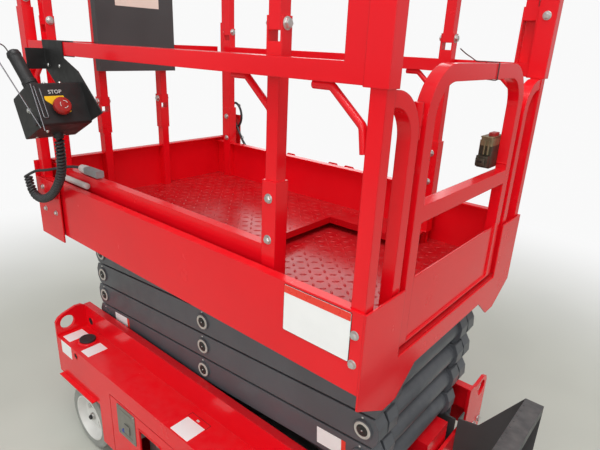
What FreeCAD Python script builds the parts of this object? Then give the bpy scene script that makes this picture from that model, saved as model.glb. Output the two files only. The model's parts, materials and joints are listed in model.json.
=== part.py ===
"""Self-propelled scissor lift with folding guard rails, a roll-out deck and a swing gate.

Millimetres. +X is forward, +Y is left, +Z is up. The origin is on the ground, midway
between the axles. Left-hand pieces are drawn and their right-hand twins are mirrored.
"""
import FreeCAD, Part
import math
import os
import re
import Sketcher

Vector = FreeCAD.Vector

os.makedirs("parts", exist_ok=True)
doc = FreeCAD.newDocument("scissor_lift")

# Driving dimensions: alias and size in millimetres.
SIZES = [
    # Chassis
    ("chassis_long", 1240), ("chassis_wide", 760), ("skin", 4), ("end_plate", 10),
    ("sill_height", 96), ("belly_height", 72), ("shoulder_height", 390),
    ("ridge_height", 473), ("ridge_spacing", 544), ("ridge_flange", 25),
    ("ear_height", 468), ("ear_hole_radius", 25), ("ear_hole_offset", 40),
    ("tub_wide", 380), ("deck_plate", 404), ("arch_height", 248), ("arch_gap", 2),
    ("web_step", 20), ("bay_step", 148), ("pit_height", 306), ("fender_wide", 14),
    # Wheels and steering
    ("wheel_radius", 115), ("wheel_wide", 80), ("wheelbase", 930), ("wheel_inset", 12),
    ("rim_radius", 84), ("rim_depth", 30), ("axle_radius", 16),
    ("kingpin_radius", 18), ("running_gap", 0.06), ("seat_gap", 0.3), ("swing_gap", 5),
    # Swing-out trays
    ("tray_top", 328), ("panel_gap", 3), ("block_tall", 175),
    # Ladder
    ("ladder_wide", 360), ("ladder_reach", 198), ("ladder_top", 573), ("tread_wide", 44),
    ("ladder_skin", 3), ("tread_pitch", 170),
    # Scissor stack
    ("pivot_back", 556), ("arm_span", 1072), ("base_pin", 460), ("level_rise", 78),
    ("arm_tall", 72), ("arm_wide", 38), ("arm_gap", 6), ("stack_wide", 476),
    ("shaft_radius", 15), ("cross_radius", 30), ("boss_radius", 24), ("boss_proud", 4),
    ("roller_radius", 24), ("roller_wide", 24), ("lug_thick", 8),
    # Lift cylinder
    ("barrel_offset", 75), ("rod_offset", 150), ("barrel_radius", 35), ("rod_radius", 20),
    ("eye_radius", 22), ("eye_wide", 36), ("barrel_long", 824), ("barrel_wall", 7),
    # Platform
    ("platform_long", 1198), ("platform_back", 620), ("platform_wide", 760),
    ("side_bottom", 819), ("side_tall", 160), ("side_lip", 22), ("floor_height", 839),
    ("floor_thick", 5), ("opening_wide", 500), ("skirt_drop", 86), ("skirt_mid", 34),
    # Roll-out deck
    ("deck_step", 39), ("deck_back", 102), ("strip_back", 376), ("strip_edge", 205),
    ("toe_wide", 680), ("toe_tall", 174), ("toe_lip", 24), ("front_height", 1026),
    ("wrap_long", 142), ("wrap_gap", 5),
    # Guard rails
    ("rail_wide", 25), ("rail_tall", 32), ("mid_rail_top", 1369), ("top_rail_top", 1962),
    ("post_long", 28), ("sleeve_top", 1148), ("inner_hinge", 1421), ("outer_hinge", 1478),
    ("hinge_drop", 29), ("hinge_tail", 11), ("ear_skin", 4), ("bolt_radius", 6),
    ("wide_post_long", 43), ("wide_post_deep", 31), ("wide_post_foot", 1335), ("arc_edge", 262),
    ("arc_radius", 68), ("front_hinge", 1190), ("guard_wide", 628), ("guard_post", 159),
    ("guard_mate", 65), ("rail_clear", 8), ("sleeve_wide", 33), ("mid_post", 381),
    ("front_post", 488), ("corner_post", 540), ("box_bottom", 1285), ("box_top", 1600),
    ("box_deep", 25), ("box_left", 178), ("box_right", 98), ("brace_radius", 7),
    # Control box and its curly cord
    ("sheet_skin", 3), ("hook_back", 329), ("hook_front", 439), ("control_back", 210),
    ("control_low", 1187), ("control_deep", 112), ("control_wide", 122), ("control_tall", 102),
    ("control_tilt", 25), ("control_edge", 4), ("guard_wire", 3), ("button_radius", 20),
    ("coil_radius", 13), ("lead_radius", 3.5), ("cable_radius", 4.5),
    # Gate
    ("gate_wide", 476), ("gate_bottom", 846), ("gate_top", 1370), ("gate_corner", 80),
    ("gate_tube", 30), ("gate_mid", 1128), ("kick_top", 983), ("gate_plane", 612),
    ("hinge_pin", 5), ("knuckle_radius", 9), ("knuckle_long", 40),
]

sheet = doc.addObject("Spreadsheet::Sheet", "dims")
for row, (alias, size) in enumerate(SIZES, 1):
    sheet.set("A%d" % row, str(size))
    sheet.setAlias("A%d" % row, alias)
doc.recompute()
NAMES = {alias for alias, size in SIZES}
NODES = []

# Sizes that follow from the driving ones.
DERIVED = {
    "deck_height": "(floor_height + deck_step)",
    "toe_height": "(floor_height + toe_tall)",
    "arch_start": "(wheelbase / 2 - wheel_radius - arch_gap)",
    "cross_plate": "(wheelbase / 2 - wheel_radius - web_step)",
    "bay_long": "(wheelbase - 2 * wheel_radius - bay_step)",
    "tray_long": "(wheelbase - 2 * wheel_radius - bay_step - 2 * panel_gap)",
}

# Heights and planes that several pieces share, as text for the expressions.
BACK = "(-platform_back)"
FRONT = "(platform_long - platform_back)"
SIDE_TOP = "(side_bottom + side_tall)"
RAIL_LOW = "(mid_rail_top - rail_tall)"
OUTER_RAIL = "(platform_wide / 2 - 2 - rail_wide)"
INNER_RAIL = "(platform_wide / 2 - 2 - 2 * rail_wide - rail_clear)"
INNER_MID = "(platform_wide / 2 - 2 - 1.5 * rail_wide - rail_clear)"
INNER_BEAM = "(stack_wide / 2 - 2 * arm_wide - arm_gap)"
OUTER_BEAM = "(stack_wide / 2 - arm_wide)"
TUB = "(tub_wide / 2)"
RIDGE = "(ridge_spacing / 2)"
HALF = "(chassis_wide / 2)"
END = "(chassis_long / 2)"


def spelled(text):
    """Writes the derived sizes out in driving ones."""
    return re.sub(r"[a-z_]+", lambda m: DERIVED.get(m.group(), m.group()), str(text))


def bound(text):
    """Turns plain size names into references to the sheet."""
    return re.sub(r"[a-z_]+", lambda m: "dims." + m.group() if m.group() in NAMES else m.group(),
                  spelled(text))


def value(text):
    """The number that an expression of size names has now."""
    return float(sheet.evalExpression(spelled(text)))


def place(piece, at):
    for letter, text in zip("xyz", at):
        piece.setExpression("Placement.Base." + letter, bound(text))
    return piece


def box(at, size):
    """A block from its lowest corner and its three lengths."""
    piece = doc.addObject("Part::Box", "block")
    for field, text in zip(("Length", "Width", "Height"), size):
        piece.setExpression(field, bound(text))
    return place(piece, at)


TURNS = {
    "X": FreeCAD.Rotation(Vector(0, 1, 0), 90),
    "Y": FreeCAD.Rotation(Vector(1, 0, 0), -90),
    "Z": FreeCAD.Rotation(),
}


def rod(at, radius, length, axis="Z"):
    """A round bar that starts at a point and runs along +X, +Y or +Z."""
    piece = doc.addObject("Part::Cylinder", "round")
    piece.Placement = FreeCAD.Placement(Vector(), TURNS[axis])
    piece.setExpression("Radius", bound(radius))
    piece.setExpression("Height", bound(length))
    return place(piece, at)


def fuse(*pieces):
    whole = doc.addObject("Part::MultiFuse", "joined")
    whole.Shapes = list(pieces)
    whole.Refine = True
    return whole


def cut(base, *tools):
    whole = doc.addObject("Part::Cut", "cut")
    whole.Base = base
    whole.Tool = tools[0] if len(tools) == 1 else fuse(*tools)
    return whole


def mirrored(piece):
    """The right-hand twin of a left-hand piece."""
    twin = doc.addObject("Part::Mirroring", "twin")
    twin.Source = piece
    twin.Normal = (0, 1, 0)
    return twin


def pair(piece):
    """A left-hand piece and its twin, which don't touch, as one object."""
    both = doc.addObject("Part::Compound", "pair")
    both.Links = [piece, mirrored(piece)]
    return both


def node(label, piece):
    piece.Label = label
    NODES.append(piece)
    return piece


def plate(plane, start, thick, corners, holes=()):
    """A flat plate padded from a sketch on XY, XZ or YZ, whose corners follow the sheet.

    Each hole is an across place, an up place and a radius.
    """
    body = doc.addObject("PartDesign::Body", "plate")
    sketch = body.newObject("Sketcher::SketchObject", "outline")
    origin_plane = next(f for f in body.Origin.OriginFeatures if f.Role == plane + "_Plane")
    sketch.AttachmentSupport = [(origin_plane, "")]
    sketch.MapMode = "FlatFace"
    offset = "-(%s) - (%s)" % (start, thick) if plane == "XZ" else start
    sketch.setExpression("AttachmentOffset.Base.z", bound(offset))
    points = [Vector(value(x), value(y), 0) for x, y in corners]
    for index, point in enumerate(points):
        sketch.addGeometry(Part.LineSegment(point, points[(index + 1) % len(points)]))
    for index in range(len(points)):
        sketch.addConstraint(Sketcher.Constraint("Coincident", index, 2, (index + 1) % len(points), 1))
    fixed = [(index, 1, x, y) for index, (x, y) in enumerate(corners)]
    for x, y, radius in holes:
        centre = Vector(value(x), value(y), 0)
        circle = sketch.addGeometry(Part.Circle(centre, Vector(0, 0, 1), value(radius)))
        size = sketch.addConstraint(Sketcher.Constraint("Radius", circle, value(radius)))
        sketch.setExpression("Constraints[%d]" % size, bound(radius))
        fixed.append((circle, 3, x, y))
    for item, point, x, y in fixed:
        for kind, text in (("DistanceX", x), ("DistanceY", y)):
            tie = sketch.addConstraint(Sketcher.Constraint(kind, -1, 1, item, point, value(text)))
            sketch.setExpression("Constraints[%d]" % tie, bound(text))
    pad = body.newObject("PartDesign::Pad", "pad")
    pad.Profile = sketch
    pad.setExpression("Length", bound(thick))
    return body


def turned(outline, at, axis="Y"):
    """A solid of revolution about its own Z, from (radius, height) corners, laid along an axis."""
    body = doc.addObject("PartDesign::Body", "turned")
    sketch = body.newObject("Sketcher::SketchObject", "section")
    origin_plane = next(f for f in body.Origin.OriginFeatures if f.Role == "XZ_Plane")
    sketch.AttachmentSupport = [(origin_plane, "")]
    sketch.MapMode = "FlatFace"
    points = [Vector(value(x), value(y), 0) for x, y in outline]
    for index, point in enumerate(points):
        sketch.addGeometry(Part.LineSegment(point, points[(index + 1) % len(points)]))
    for index in range(len(points)):
        sketch.addConstraint(Sketcher.Constraint("Coincident", index, 2, (index + 1) % len(points), 1))
    for index, (x, y) in enumerate(outline):
        for kind, text in (("DistanceX", x), ("DistanceY", y)):
            tie = sketch.addConstraint(Sketcher.Constraint(kind, -1, 1, index, 1, value(text)))
            sketch.setExpression("Constraints[%d]" % tie, bound(text))
    spin = body.newObject("PartDesign::Revolution", "revolution")
    spin.Profile = sketch
    spin.ReferenceAxis = (sketch, ["V_Axis"])
    spin.Angle = 360
    body.Placement = FreeCAD.Placement(Vector(), TURNS[axis])
    return place(body, at)


def tangent_path(points, radius=None):
    """Straight runs through the points, with an arc at each bend.

    Where no radius is given, each arc is as large as its two runs allow.
    """
    edges = []
    radii = []
    start = points[0]
    for before, corner, after in zip(points, points[1:], points[2:]):
        towards = (before - corner).normalize()
        away = (after - corner).normalize()
        half = (math.pi - towards.getAngle(away)) / 2
        shorter = min((before - corner).Length, (after - corner).Length)
        bend = radius or 0.45 * shorter / math.tan(half)
        radii.append(bend)
        reach = bend * math.tan(half)
        first = corner + towards * reach
        last = corner + away * reach
        inward = (towards + away).normalize()
        middle = corner + inward * (bend / math.cos(half) - bend)
        edges.append(Part.LineSegment(start, first).toShape())
        edges.append(Part.Arc(first, middle, last).toShape())
        start = last
    edges.append(Part.LineSegment(start, points[-1]).toShape())
    if radius is None:
        print("arc radii:", " ".join("%.0f" % bend for bend in radii))
    return Part.Wire(edges)


def bar(points, radius, section):
    """A bar whose flat section is swept along straight runs and bends."""
    path = tangent_path(points, radius)
    solid = path.makePipeShell([section], True, False)
    piece = doc.addObject("Part::Feature", "bar")
    piece.Shape = solid
    if radius is None:
        area = Part.Face(section).Area
        print("volume %.1f, section times length %.1f" % (solid.Volume, area * path.Length))
    return piece


def rectangle(centre, across, up, wide, tall):
    """A rectangular wire about a point, with its two directions and two sizes."""
    corners = [centre + across * (wide / 2 * a) + up * (tall / 2 * b)
               for a, b in ((-1, -1), (1, -1), (1, 1), (-1, 1), (-1, -1))]
    return Part.makePolygon(corners)


def round_bar(points, radius, bend=None):
    """A round bar, cord or cable along straight runs and bends."""
    points = [Vector(*point) for point in points]
    section = Part.Wire(Part.makeCircle(radius, points[0], points[1] - points[0]))
    return bar(points, bend, section)


def hinge_knuckle(at, radius, long, bore=None, axis="Z"):
    """A hinge knuckle that starts at a point, bored through where a bore is given."""
    barrel = rod(at, radius, long, axis)
    return cut(barrel, rod(at, bore, long, axis)) if bore else barrel


# Chassis

def chassis_sides():
    under = "(shoulder_height - skin)"
    side = plate("YZ", "-%s + end_plate" % END, "chassis_long - 2 * end_plate", [
        (HALF, "sill_height"), (HALF, "shoulder_height"), (RIDGE, "shoulder_height"),
        (RIDGE, "ridge_height"), (RIDGE + " - ridge_flange", "ridge_height"),
        (RIDGE + " - ridge_flange", "ridge_height - skin"), (RIDGE + " - skin", "ridge_height - skin"),
        (RIDGE + " - skin", under), (HALF + " - skin", under), (HALF + " - skin", "sill_height")])
    through = (HALF + " - 2 * skin", "3 * skin")
    long = "%s - arch_start" % END
    low = "sill_height - 1"
    tall = "arch_height - sill_height + 1"
    front_arch = box(("arch_start", through[0], low), (long, through[1], tall))
    rear_arch = box(("-" + END, through[0], low), (long, through[1], tall))
    bay = box(("-bay_long / 2", through[0], low),
              ("bay_long", through[1], "tray_top + panel_gap - sill_height + 1"))
    side = cut(side, front_arch, rear_arch, bay)
    fender = box(("arch_start + 25", HALF + " - skin", "arch_height - skin"),
                 ("%s - arch_start - 45" % END, "fender_wide + skin", "skin"))
    rear_fender = box(("-%s + 20" % END, HALF + " - skin", "arch_height - skin"),
                      ("%s - arch_start - 45" % END, "fender_wide + skin", "skin"))
    pieces = [side, fender, rear_fender]
    for low in ("130", "250"):
        middle = "%s + knuckle_long + seat_gap" % low
        pieces.append(rod((TRAY_X, TRAY_Y, middle), "hinge_pin + 2", "knuckle_long / 2"))
        pieces.append(rod((TRAY_X, TRAY_Y, low), "hinge_pin - 2", "knuckle_long * 1.5 + seat_gap"))
        pieces.append(box((TRAY_X + " - 25", HALF, middle), ("25", "skin", "knuckle_long / 2")))
    return fuse(*pieces)


TRAY_X = "(-tray_long / 2 - 2)"
TRAY_Y = "(%s + hinge_pin + 2 + seat_gap)" % HALF


def end_plate(start, sketch_side):
    half = sketch_side
    corners = half + [("-(%s)" % y, z) for y, z in reversed(half)]
    holes = [("%s - ear_hole_offset" % HALF, "shoulder_height + 42", "ear_hole_radius"),
             ("ear_hole_offset - " + HALF, "shoulder_height + 42", "ear_hole_radius")]
    return plate("YZ", start, "end_plate", corners, holes)


def chassis_ends():
    front = end_plate(END + " - end_plate", [
        (HALF, "arch_height"),
        (HALF, "ear_height - 25"), (HALF + " - 10", "ear_height - 10"), (HALF + " - 29", "ear_height"),
        (HALF + " - 74", "ear_height + 14"), (RIDGE + " + 12", "ridge_height + 8"),
        (RIDGE, "ridge_height"), (RIDGE + " - ridge_flange", "ridge_height"),
        (RIDGE + " - ridge_flange", "deck_plate")])
    rear = end_plate("-" + END, [
        (HALF, "arch_height"),
        (HALF, "ear_height - 25"), (HALF + " - 10", "ear_height - 8"), (HALF + " - 29", "ear_height"),
        (HALF + " - 74", "ear_height - 4"), (RIDGE + " + 12", "ridge_height - 8"),
        (RIDGE, "ridge_height"), (RIDGE + " - ridge_flange", "ridge_height"),
        (RIDGE + " - ridge_flange", "deck_plate - 40")])
    return fuse(front, rear)


def chassis_tub():
    inner_end = END + " - end_plate"
    long = "chassis_long - 2 * end_plate"
    wall = "6"
    pieces = [
        box(("-(%s)" % inner_end, "-" + TUB, "belly_height"), (long, "tub_wide", wall)),
        box(("-(%s)" % inner_end, TUB + " - 6", "belly_height + 6"), (long, wall, "deck_plate - belly_height - 6")),
        box(("-(%s)" % inner_end, "-" + TUB, "belly_height + 6"), (long, wall, "deck_plate - belly_height - 6")),
        box(("-pivot_back + 60", "-%s + 6" % TUB, "deck_plate - 6"),
            (inner_end + " + pivot_back - 60", "tub_wide - 12", wall)),
        box(("-(%s)" % inner_end, "-%s + 6" % TUB, "pit_height - 6"),
            ("%s - pivot_back + 60" % inner_end, "tub_wide - 12", wall)),
        box(("-pivot_back + 54", "-%s + 6" % TUB, "pit_height"), (wall, "tub_wide - 12", "deck_plate - pit_height")),
        box(("-" + END, "-" + TUB, "belly_height"), ("end_plate", "tub_wide", "arch_height - belly_height")),
        box((inner_end, "-" + TUB, "belly_height"), ("end_plate", "tub_wide", "arch_height - belly_height")),
    ]
    return fuse(*pieces)


def chassis_webs():
    """The cross webs beside the tub and the bearings that the front kingpins turn in."""
    pieces = []
    for start in ("bay_long / 2 + 8", "cross_plate", "-bay_long / 2 - 12", "-cross_plate - skin"):
        web = box((start, TUB, "sill_height"),
                  ("skin", "%s - skin - %s" % (HALF, TUB), "shoulder_height - skin - sill_height"))
        pieces.append(web)
        pieces.append(mirrored(web))
    shelf = box(("wheelbase / 2 - 40", TUB, "wheel_radius * 2 + 70"), ("80", "%s - skin - %s" % (HALF, TUB), "6"))
    bearing = rod((AXLE, KINGPIN, "wheel_radius * 2 + 28"), "kingpin_radius + 9", "48")
    bore = rod((AXLE, KINGPIN, "wheel_radius * 2 + 20"), "kingpin_radius + running_gap", "80")
    head = cut(fuse(shelf, bearing), bore)
    pieces += [head, mirrored(head)]
    return fuse_apart(*pieces)


AXLE = "(wheelbase / 2)"
KINGPIN = "(%s - wheel_inset - wheel_wide / 2)" % HALF


def scissor_base():
    lug = rod(("-pivot_back", OUTER_BEAM + " - 2", "base_pin"), "30", "lug_thick", "Y")
    leg = box(("-pivot_back - 30", OUTER_BEAM + " - 2", "deck_plate - 24"), ("60", "lug_thick", "base_pin - deck_plate + 24"))
    foot = box(("-pivot_back - 30", TUB, "deck_plate - 24"), ("60", "%s - 2 - %s" % (OUTER_BEAM, TUB), "24"))
    bore = rod(("-pivot_back", OUTER_BEAM + " - 20", "base_pin"), "shaft_radius + running_gap", "40", "Y")
    bracket = cut(fuse(lug, leg, foot), bore)
    track = box(("pivot_back / 8", INNER_BEAM + " + 4", "deck_plate"),
                ("arm_span / 2 - 60", "roller_wide + 4", "base_pin - roller_radius - seat_gap - deck_plate"))
    return pair(fuse_apart(bracket, track))


def fuse_apart(*pieces):
    """Solids that stand apart, kept together as one object."""
    group = doc.addObject("Part::Compound", "group")
    group.Links = list(pieces)
    return group


def stub_axles():
    low = "wheel_radius"
    hub_face = "(%s - wheel_inset - wheel_wide)" % HALF
    block = box(("-%s - 26" % AXLE, TUB, low + " - 26"), ("52", "%s - %s - swing_gap" % (hub_face, TUB), "52"))
    pin = rod(("-" + AXLE, TUB, low), "axle_radius", AXLE_TIP + " - " + TUB, "Y")
    return pair(fuse(block, pin))


AXLE_TIP = "(%s - wheel_inset - rim_depth - 8)" % HALF


def ladder():
    back = "(%s + ladder_reach)" % END
    cheek = plate("XZ", "ladder_wide / 2 - ladder_skin", "ladder_skin", [
        ("-" + END, "ladder_top - 270"), ("-" + END, "ladder_top - 155"), ("-%s - 56" % END, "ladder_top - 145"),
        ("-%s + tread_wide" % back, "ladder_top"), ("-" + back, "ladder_top"),
        ("-" + back, "ladder_top - 2 * tread_pitch - 40"), ("-%s + 58" % back, "ladder_top - 2 * tread_pitch - 40"),
        ("-%s + 70" % back, "ladder_top - 2 * tread_pitch + 30")])
    flange = box(("-%s - ladder_skin" % END, "ladder_wide / 2", "ladder_top - 270"), ("ladder_skin", "36", "115"))
    side = fuse(cheek, flange)
    pieces = [side, mirrored(side)]
    width = "ladder_wide - 2 * ladder_skin"
    for step in range(3):
        top = "ladder_top - %d * tread_pitch" % step
        tread = box(("-" + back, "-ladder_wide / 2 + ladder_skin", top + " - ladder_skin"), ("tread_wide", width, "ladder_skin"))
        for start in ("-" + back, "-%s + tread_wide - ladder_skin" % back):
            pieces.append(box((start, "-ladder_wide / 2 + ladder_skin", top + " - 24"), ("ladder_skin", width, "21")))
        pieces.append(tread)
    return fuse(*pieces)


def valve_cover():
    return box(("-%s + 14" % END, "-140", "pit_height"), ("60", "120", "116"))


def filler_cap():
    collar = rod(("505", "346", "shoulder_height"), "20", "16")
    cap = rod(("505", "346", "shoulder_height + 16"), "18", "7")
    return fuse(collar, cap)


def tray(right):
    """A swing-out tray with its door, which carries the batteries or the power pack."""
    door = box(("-tray_long / 2", HALF + " - skin", "sill_height"), ("tray_long", "skin", "tray_top - sill_height"))
    if not right:
        window = box(("9", HALF + " - 2 * skin", "sill_height + 90"), ("104", "3 * skin", "107"))
        door = cut(door, window)
    inner = TUB + " + 8"
    floor = plate("XY", "sill_height", "6", [
        ("-tray_long / 2 + 4", inner), ("tray_long / 2 - 33", inner), ("tray_long / 2 - 5", HALF + " - 50"),
        ("tray_long / 2 - 4", HALF + " - skin"), ("-tray_long / 2 + 4", HALF + " - skin")])
    pieces = [door, floor]
    for low in ("130", "250"):
        knuckle = rod((TRAY_X, TRAY_Y, low), "hinge_pin + 2", "knuckle_long")
        leaf = box((TRAY_X, HALF, low), ("25", "skin", "knuckle_long"))
        bore = rod((TRAY_X, TRAY_Y, low + " - 1"), "hinge_pin - 2 + running_gap", "knuckle_long + 2")
        pieces.append(cut(fuse(knuckle, leaf), bore))
    whole = fuse(*pieces)
    return mirrored(whole) if right else whole


def tray_load(right):
    start = "-tray_long / 2 + 20"
    wide = "%s - skin - %s - 60" % (HALF, TUB)
    if right:
        tank = box((start, "-(%s) + 44" % HALF, "sill_height + 6"), ("260", wide, "block_tall"))
        motor = rod(("20", "-(%s) + 110" % HALF, "sill_height + 76"), "60", "200", "X")
        base = box(("-10", "-(%s) + 60" % HALF, "sill_height + 6"), ("250", "100", "20"))
        return fuse(tank, motor, base)
    blocks = []
    for step in range(2):
        blocks.append(box((start + " + %d" % (step * 130), TUB + " + 12", "sill_height + 6"), ("126", wide, "block_tall")))
    return fuse_apart(*blocks)


def ground_controls():
    panel = box(("0", HALF + " - 40", "sill_height + 6"), ("122", "4", "200"))
    foot = box(("8", HALF + " - 70", "sill_height + 6"), ("114", "30", "4"))
    pieces = [panel, foot]
    for place_x, place_z in (("25", "160"), ("61", "160"), ("97", "160"), ("43", "120")):
        pieces.append(rod((place_x, HALF + " - 36", "sill_height + " + place_z), "11", "14", "Y"))
    return fuse(*pieces)


# Wheels

def tyre_outline():
    half = "wheel_wide / 2"
    return [("rim_radius", "-(%s)" % half), ("wheel_radius - 8", "-(%s)" % half), ("wheel_radius - 2", "3 - %s" % half),
            ("wheel_radius", "9 - %s" % half), ("wheel_radius", "%s - 9" % half), ("wheel_radius - 2", "%s - 3" % half),
            ("wheel_radius - 8", half), ("rim_radius", half)]


def hub_outline():
    half = "wheel_wide / 2"
    bore = "axle_radius + running_gap"
    face = "(%s - rim_depth)" % half
    tip = "(%s + 3 - %s)" % (AXLE_TIP, KINGPIN)
    return [(bore, "-(%s)" % half), ("rim_radius", "-(%s)" % half), ("rim_radius", half), ("rim_radius - 6", half),
            ("rim_radius - 14", face + " + 6"), ("rim_radius - 20", face), ("34", face), ("30", face + " + 14"),
            ("0", face + " + 14"), ("0", tip), (bore, tip)]


def wheel(front, left, part):
    x = AXLE if front else "-" + AXLE
    y = KINGPIN if left else "-" + KINGPIN
    outline = tyre_outline() if part == "tyre" else hub_outline()
    if not left:
        outline = [(r, "-(%s)" % z) for r, z in reversed(outline)]
    return turned(outline, (x, y, "wheel_radius"))


def knuckle():
    pin = rod((AXLE, KINGPIN, "wheel_radius * 2 + 20"), "kingpin_radius", "70")
    top = box(("%s - 30" % AXLE, KINGPIN_SIDE, "wheel_radius * 2 + 10"), ("60", "%s + 24 - %s" % (KINGPIN, KINGPIN_SIDE), "12"))
    web = box(("%s - 30" % AXLE, KINGPIN_SIDE, "wheel_radius - 30"), ("60", "12", "wheel_radius + 40"))
    axle = rod((AXLE, KINGPIN_SIDE, "wheel_radius"), "axle_radius", "%s - %s" % (AXLE_TIP, KINGPIN_SIDE), "Y")
    return fuse(pin, top, web, axle)


KINGPIN_SIDE = "(%s - wheel_wide / 2 - 18)" % KINGPIN


# Scissor stack

ARM_LONG = "(sqrt(arm_span ^ 2 + level_rise ^ 2))"
TILT = "atan(level_rise / arm_span)"


def beam(start, holes):
    """A rectangular arm with chamfered ends, bored across at the given places."""
    half = "(arm_tall / 2)"
    return plate("XZ", start, "arm_wide", [
        ("-(%s) - 2" % half, "-14"), ("-26", "-(%s)" % half), (ARM_LONG + " + 26", "-(%s)" % half),
        (ARM_LONG + " + %s + 2" % half, "-14"), (ARM_LONG + " + %s + 2" % half, "14"), (ARM_LONG + " + 26", half),
        ("-26", half), ("-(%s) - 2" % half, "14")], holes)


def set_arm(piece, level, outer):
    """Lays an arm drawn along +X from its rear pin into its place in the folded stack."""
    piece.Placement = FreeCAD.Placement(Vector(), FreeCAD.Rotation(Vector(0, 1, 0), 1))
    piece.setExpression("Placement.Base.x", bound("-pivot_back"))
    rear = level if outer else level - 1
    piece.setExpression("Placement.Base.z", bound("base_pin + %d * level_rise" % rear))
    piece.setExpression("Placement.Rotation.Angle", bound(TILT if outer else "-" + TILT))
    return piece


def inner_arms(level):
    bore = "shaft_radius + running_gap"
    holes = []
    if level > 1:
        holes.append(("0", "0", bore))
    holes.append((ARM_LONG + " / 2", "0", bore))
    if level < 4:
        holes.append((ARM_LONG, "0", bore))
    arm = beam(INNER_BEAM, holes)
    pieces = [arm, mirrored(arm)]
    inside = "2 * " + INNER_BEAM
    for at, bored in (("0", level > 1), (ARM_LONG, level < 4)):
        tube = rod((at, "-" + INNER_BEAM, "0"), "cross_radius", inside, "Y")
        if bored:
            tube = cut(tube, rod((at, "-" + INNER_BEAM, "0"), bore, inside, "Y"))
        pieces.append(tube)
    if level == 1:
        pieces.append(rod(("0", "-(%s)" % LUG_FACE, "0"), "shaft_radius", "2 * " + LUG_FACE, "Y"))
    if level == 4:
        reach = "(%s + arm_wide + roller_wide + 12)" % INNER_BEAM
        pieces.append(rod((ARM_LONG, "-" + reach, "0"), "shaft_radius", "2 * " + reach, "Y"))
        for start in (INNER_BEAM + " + arm_wide + 5", "-(%s) - arm_wide - 5 - roller_wide" % INNER_BEAM):
            pieces.append(rod((ARM_LONG, start, "0"), "roller_radius", "roller_wide", "Y"))
    if level == 2:
        pieces += clevis("0", "barrel_offset")
    if level == 3:
        pieces += clevis(ARM_LONG, "-rod_offset")
    return set_arm(fuse(*pieces), level, False)


LUG_FACE = "(%s - 2 + lug_thick + 3)" % OUTER_BEAM


def clevis(tube, reach):
    """Two ears that reach from a cross tube to the cylinder's pivot."""
    pivot = "%s + (%s)" % (tube, reach)
    ears = []
    for start in ("eye_wide / 2 + 2", "-eye_wide / 2 - 12"):
        low = "(%s)" % tube if not reach.startswith("-") else "(%s)" % pivot
        long = reach if not reach.startswith("-") else reach[1:]
        web = box((low, start, "-eye_radius"), (long, "10", "2 * eye_radius"))
        ears.append(fuse(web, rod((pivot, start, "0"), "eye_radius", "10", "Y")))
    clear = [rod((tube, "-40", "0"), "cross_radius - 6", "80", "Y")]
    bore = rod((pivot, "-40", "0"), "12 + running_gap", "80", "Y")
    return [cut(ear, bore, *clear) for ear in ears]


def outer_arms(level):
    holes = []
    arm = beam(OUTER_BEAM, holes)
    pieces = [arm, mirrored(arm)]
    face = "(%s + arm_wide)" % OUTER_BEAM
    for at in ("0", ARM_LONG):
        pieces.append(rod((at, "-" + face, "0"), "shaft_radius", "2 * " + face, "Y"))
    stub = "(%s - arm_gap - arm_wide - 2)" % OUTER_BEAM
    centre = rod((ARM_LONG + " / 2", stub, "0"), "shaft_radius", "%s - %s" % (face, stub), "Y")
    pieces += [centre, mirrored(centre)]
    for at in ("0", ARM_LONG + " / 2", ARM_LONG):
        boss = rod((at, face, "0"), "boss_radius", "boss_proud", "Y")
        pieces += [boss, mirrored(boss)]
    if level == 1:
        for start in (INNER_BEAM + " + 6", "-(%s) - 6 - roller_wide" % INNER_BEAM):
            pieces.append(rod((ARM_LONG, start, "0"), "roller_radius", "roller_wide", "Y"))
    return set_arm(fuse(*pieces), level, True)


# Lift cylinder

PIN_LOW = ("(-pivot_back + barrel_offset * cos(%s))" % TILT, "(base_pin + level_rise + barrel_offset * sin(%s))" % TILT)
PIN_HIGH = ("(-pivot_back + (%s - rod_offset) * cos(%s))" % (ARM_LONG, TILT),
            "(base_pin + 2 * level_rise + (%s - rod_offset) * sin(%s))" % (ARM_LONG, TILT))
CYLINDER_LONG = "(sqrt((%s - %s) ^ 2 + (%s - %s) ^ 2))" % (PIN_HIGH[0], PIN_LOW[0], PIN_HIGH[1], PIN_LOW[1])
CYLINDER_TILT = "(-atan((%s - %s) / (%s - %s)))" % (PIN_HIGH[1], PIN_LOW[1], PIN_HIGH[0], PIN_LOW[0])


def set_cylinder(piece):
    piece.Placement = FreeCAD.Placement(Vector(), FreeCAD.Rotation(Vector(0, 1, 0), 1))
    piece.setExpression("Placement.Base.x", bound(PIN_LOW[0]))
    piece.setExpression("Placement.Base.z", bound(PIN_LOW[1]))
    piece.setExpression("Placement.Rotation.Angle", bound(CYLINDER_TILT))
    return piece


def lift_barrel():
    eye = rod(("0", "-eye_wide / 2", "0"), "eye_radius", "eye_wide", "Y")
    pin = rod(("0", "-eye_wide / 2 - 14", "0"), "12", "eye_wide + 28", "Y")
    neck = box(("0", "-eye_wide / 2", "-eye_radius"), ("30", "eye_wide", "2 * eye_radius"))
    tube = rod(("28", "0", "0"), "barrel_radius", "barrel_long - 28", "X")
    bore = rod(("60", "0", "0"), "rod_radius + running_gap", "barrel_long", "X")
    chamber = rod(("40", "0", "0"), "barrel_radius - barrel_wall", "barrel_long - 52", "X")
    return set_cylinder(fuse(eye, pin, neck, cut(tube, bore, chamber)))


def lift_rod():
    eye = rod((CYLINDER_LONG, "-eye_wide / 2", "0"), "eye_radius", "eye_wide", "Y")
    stem = rod(("50", "0", "0"), "rod_radius", CYLINDER_LONG + " - 50", "X")
    piston = rod(("42", "0", "0"), "barrel_radius - barrel_wall - running_gap", "10", "X")
    return set_cylinder(fuse(eye, stem, piston))


# Platform

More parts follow.
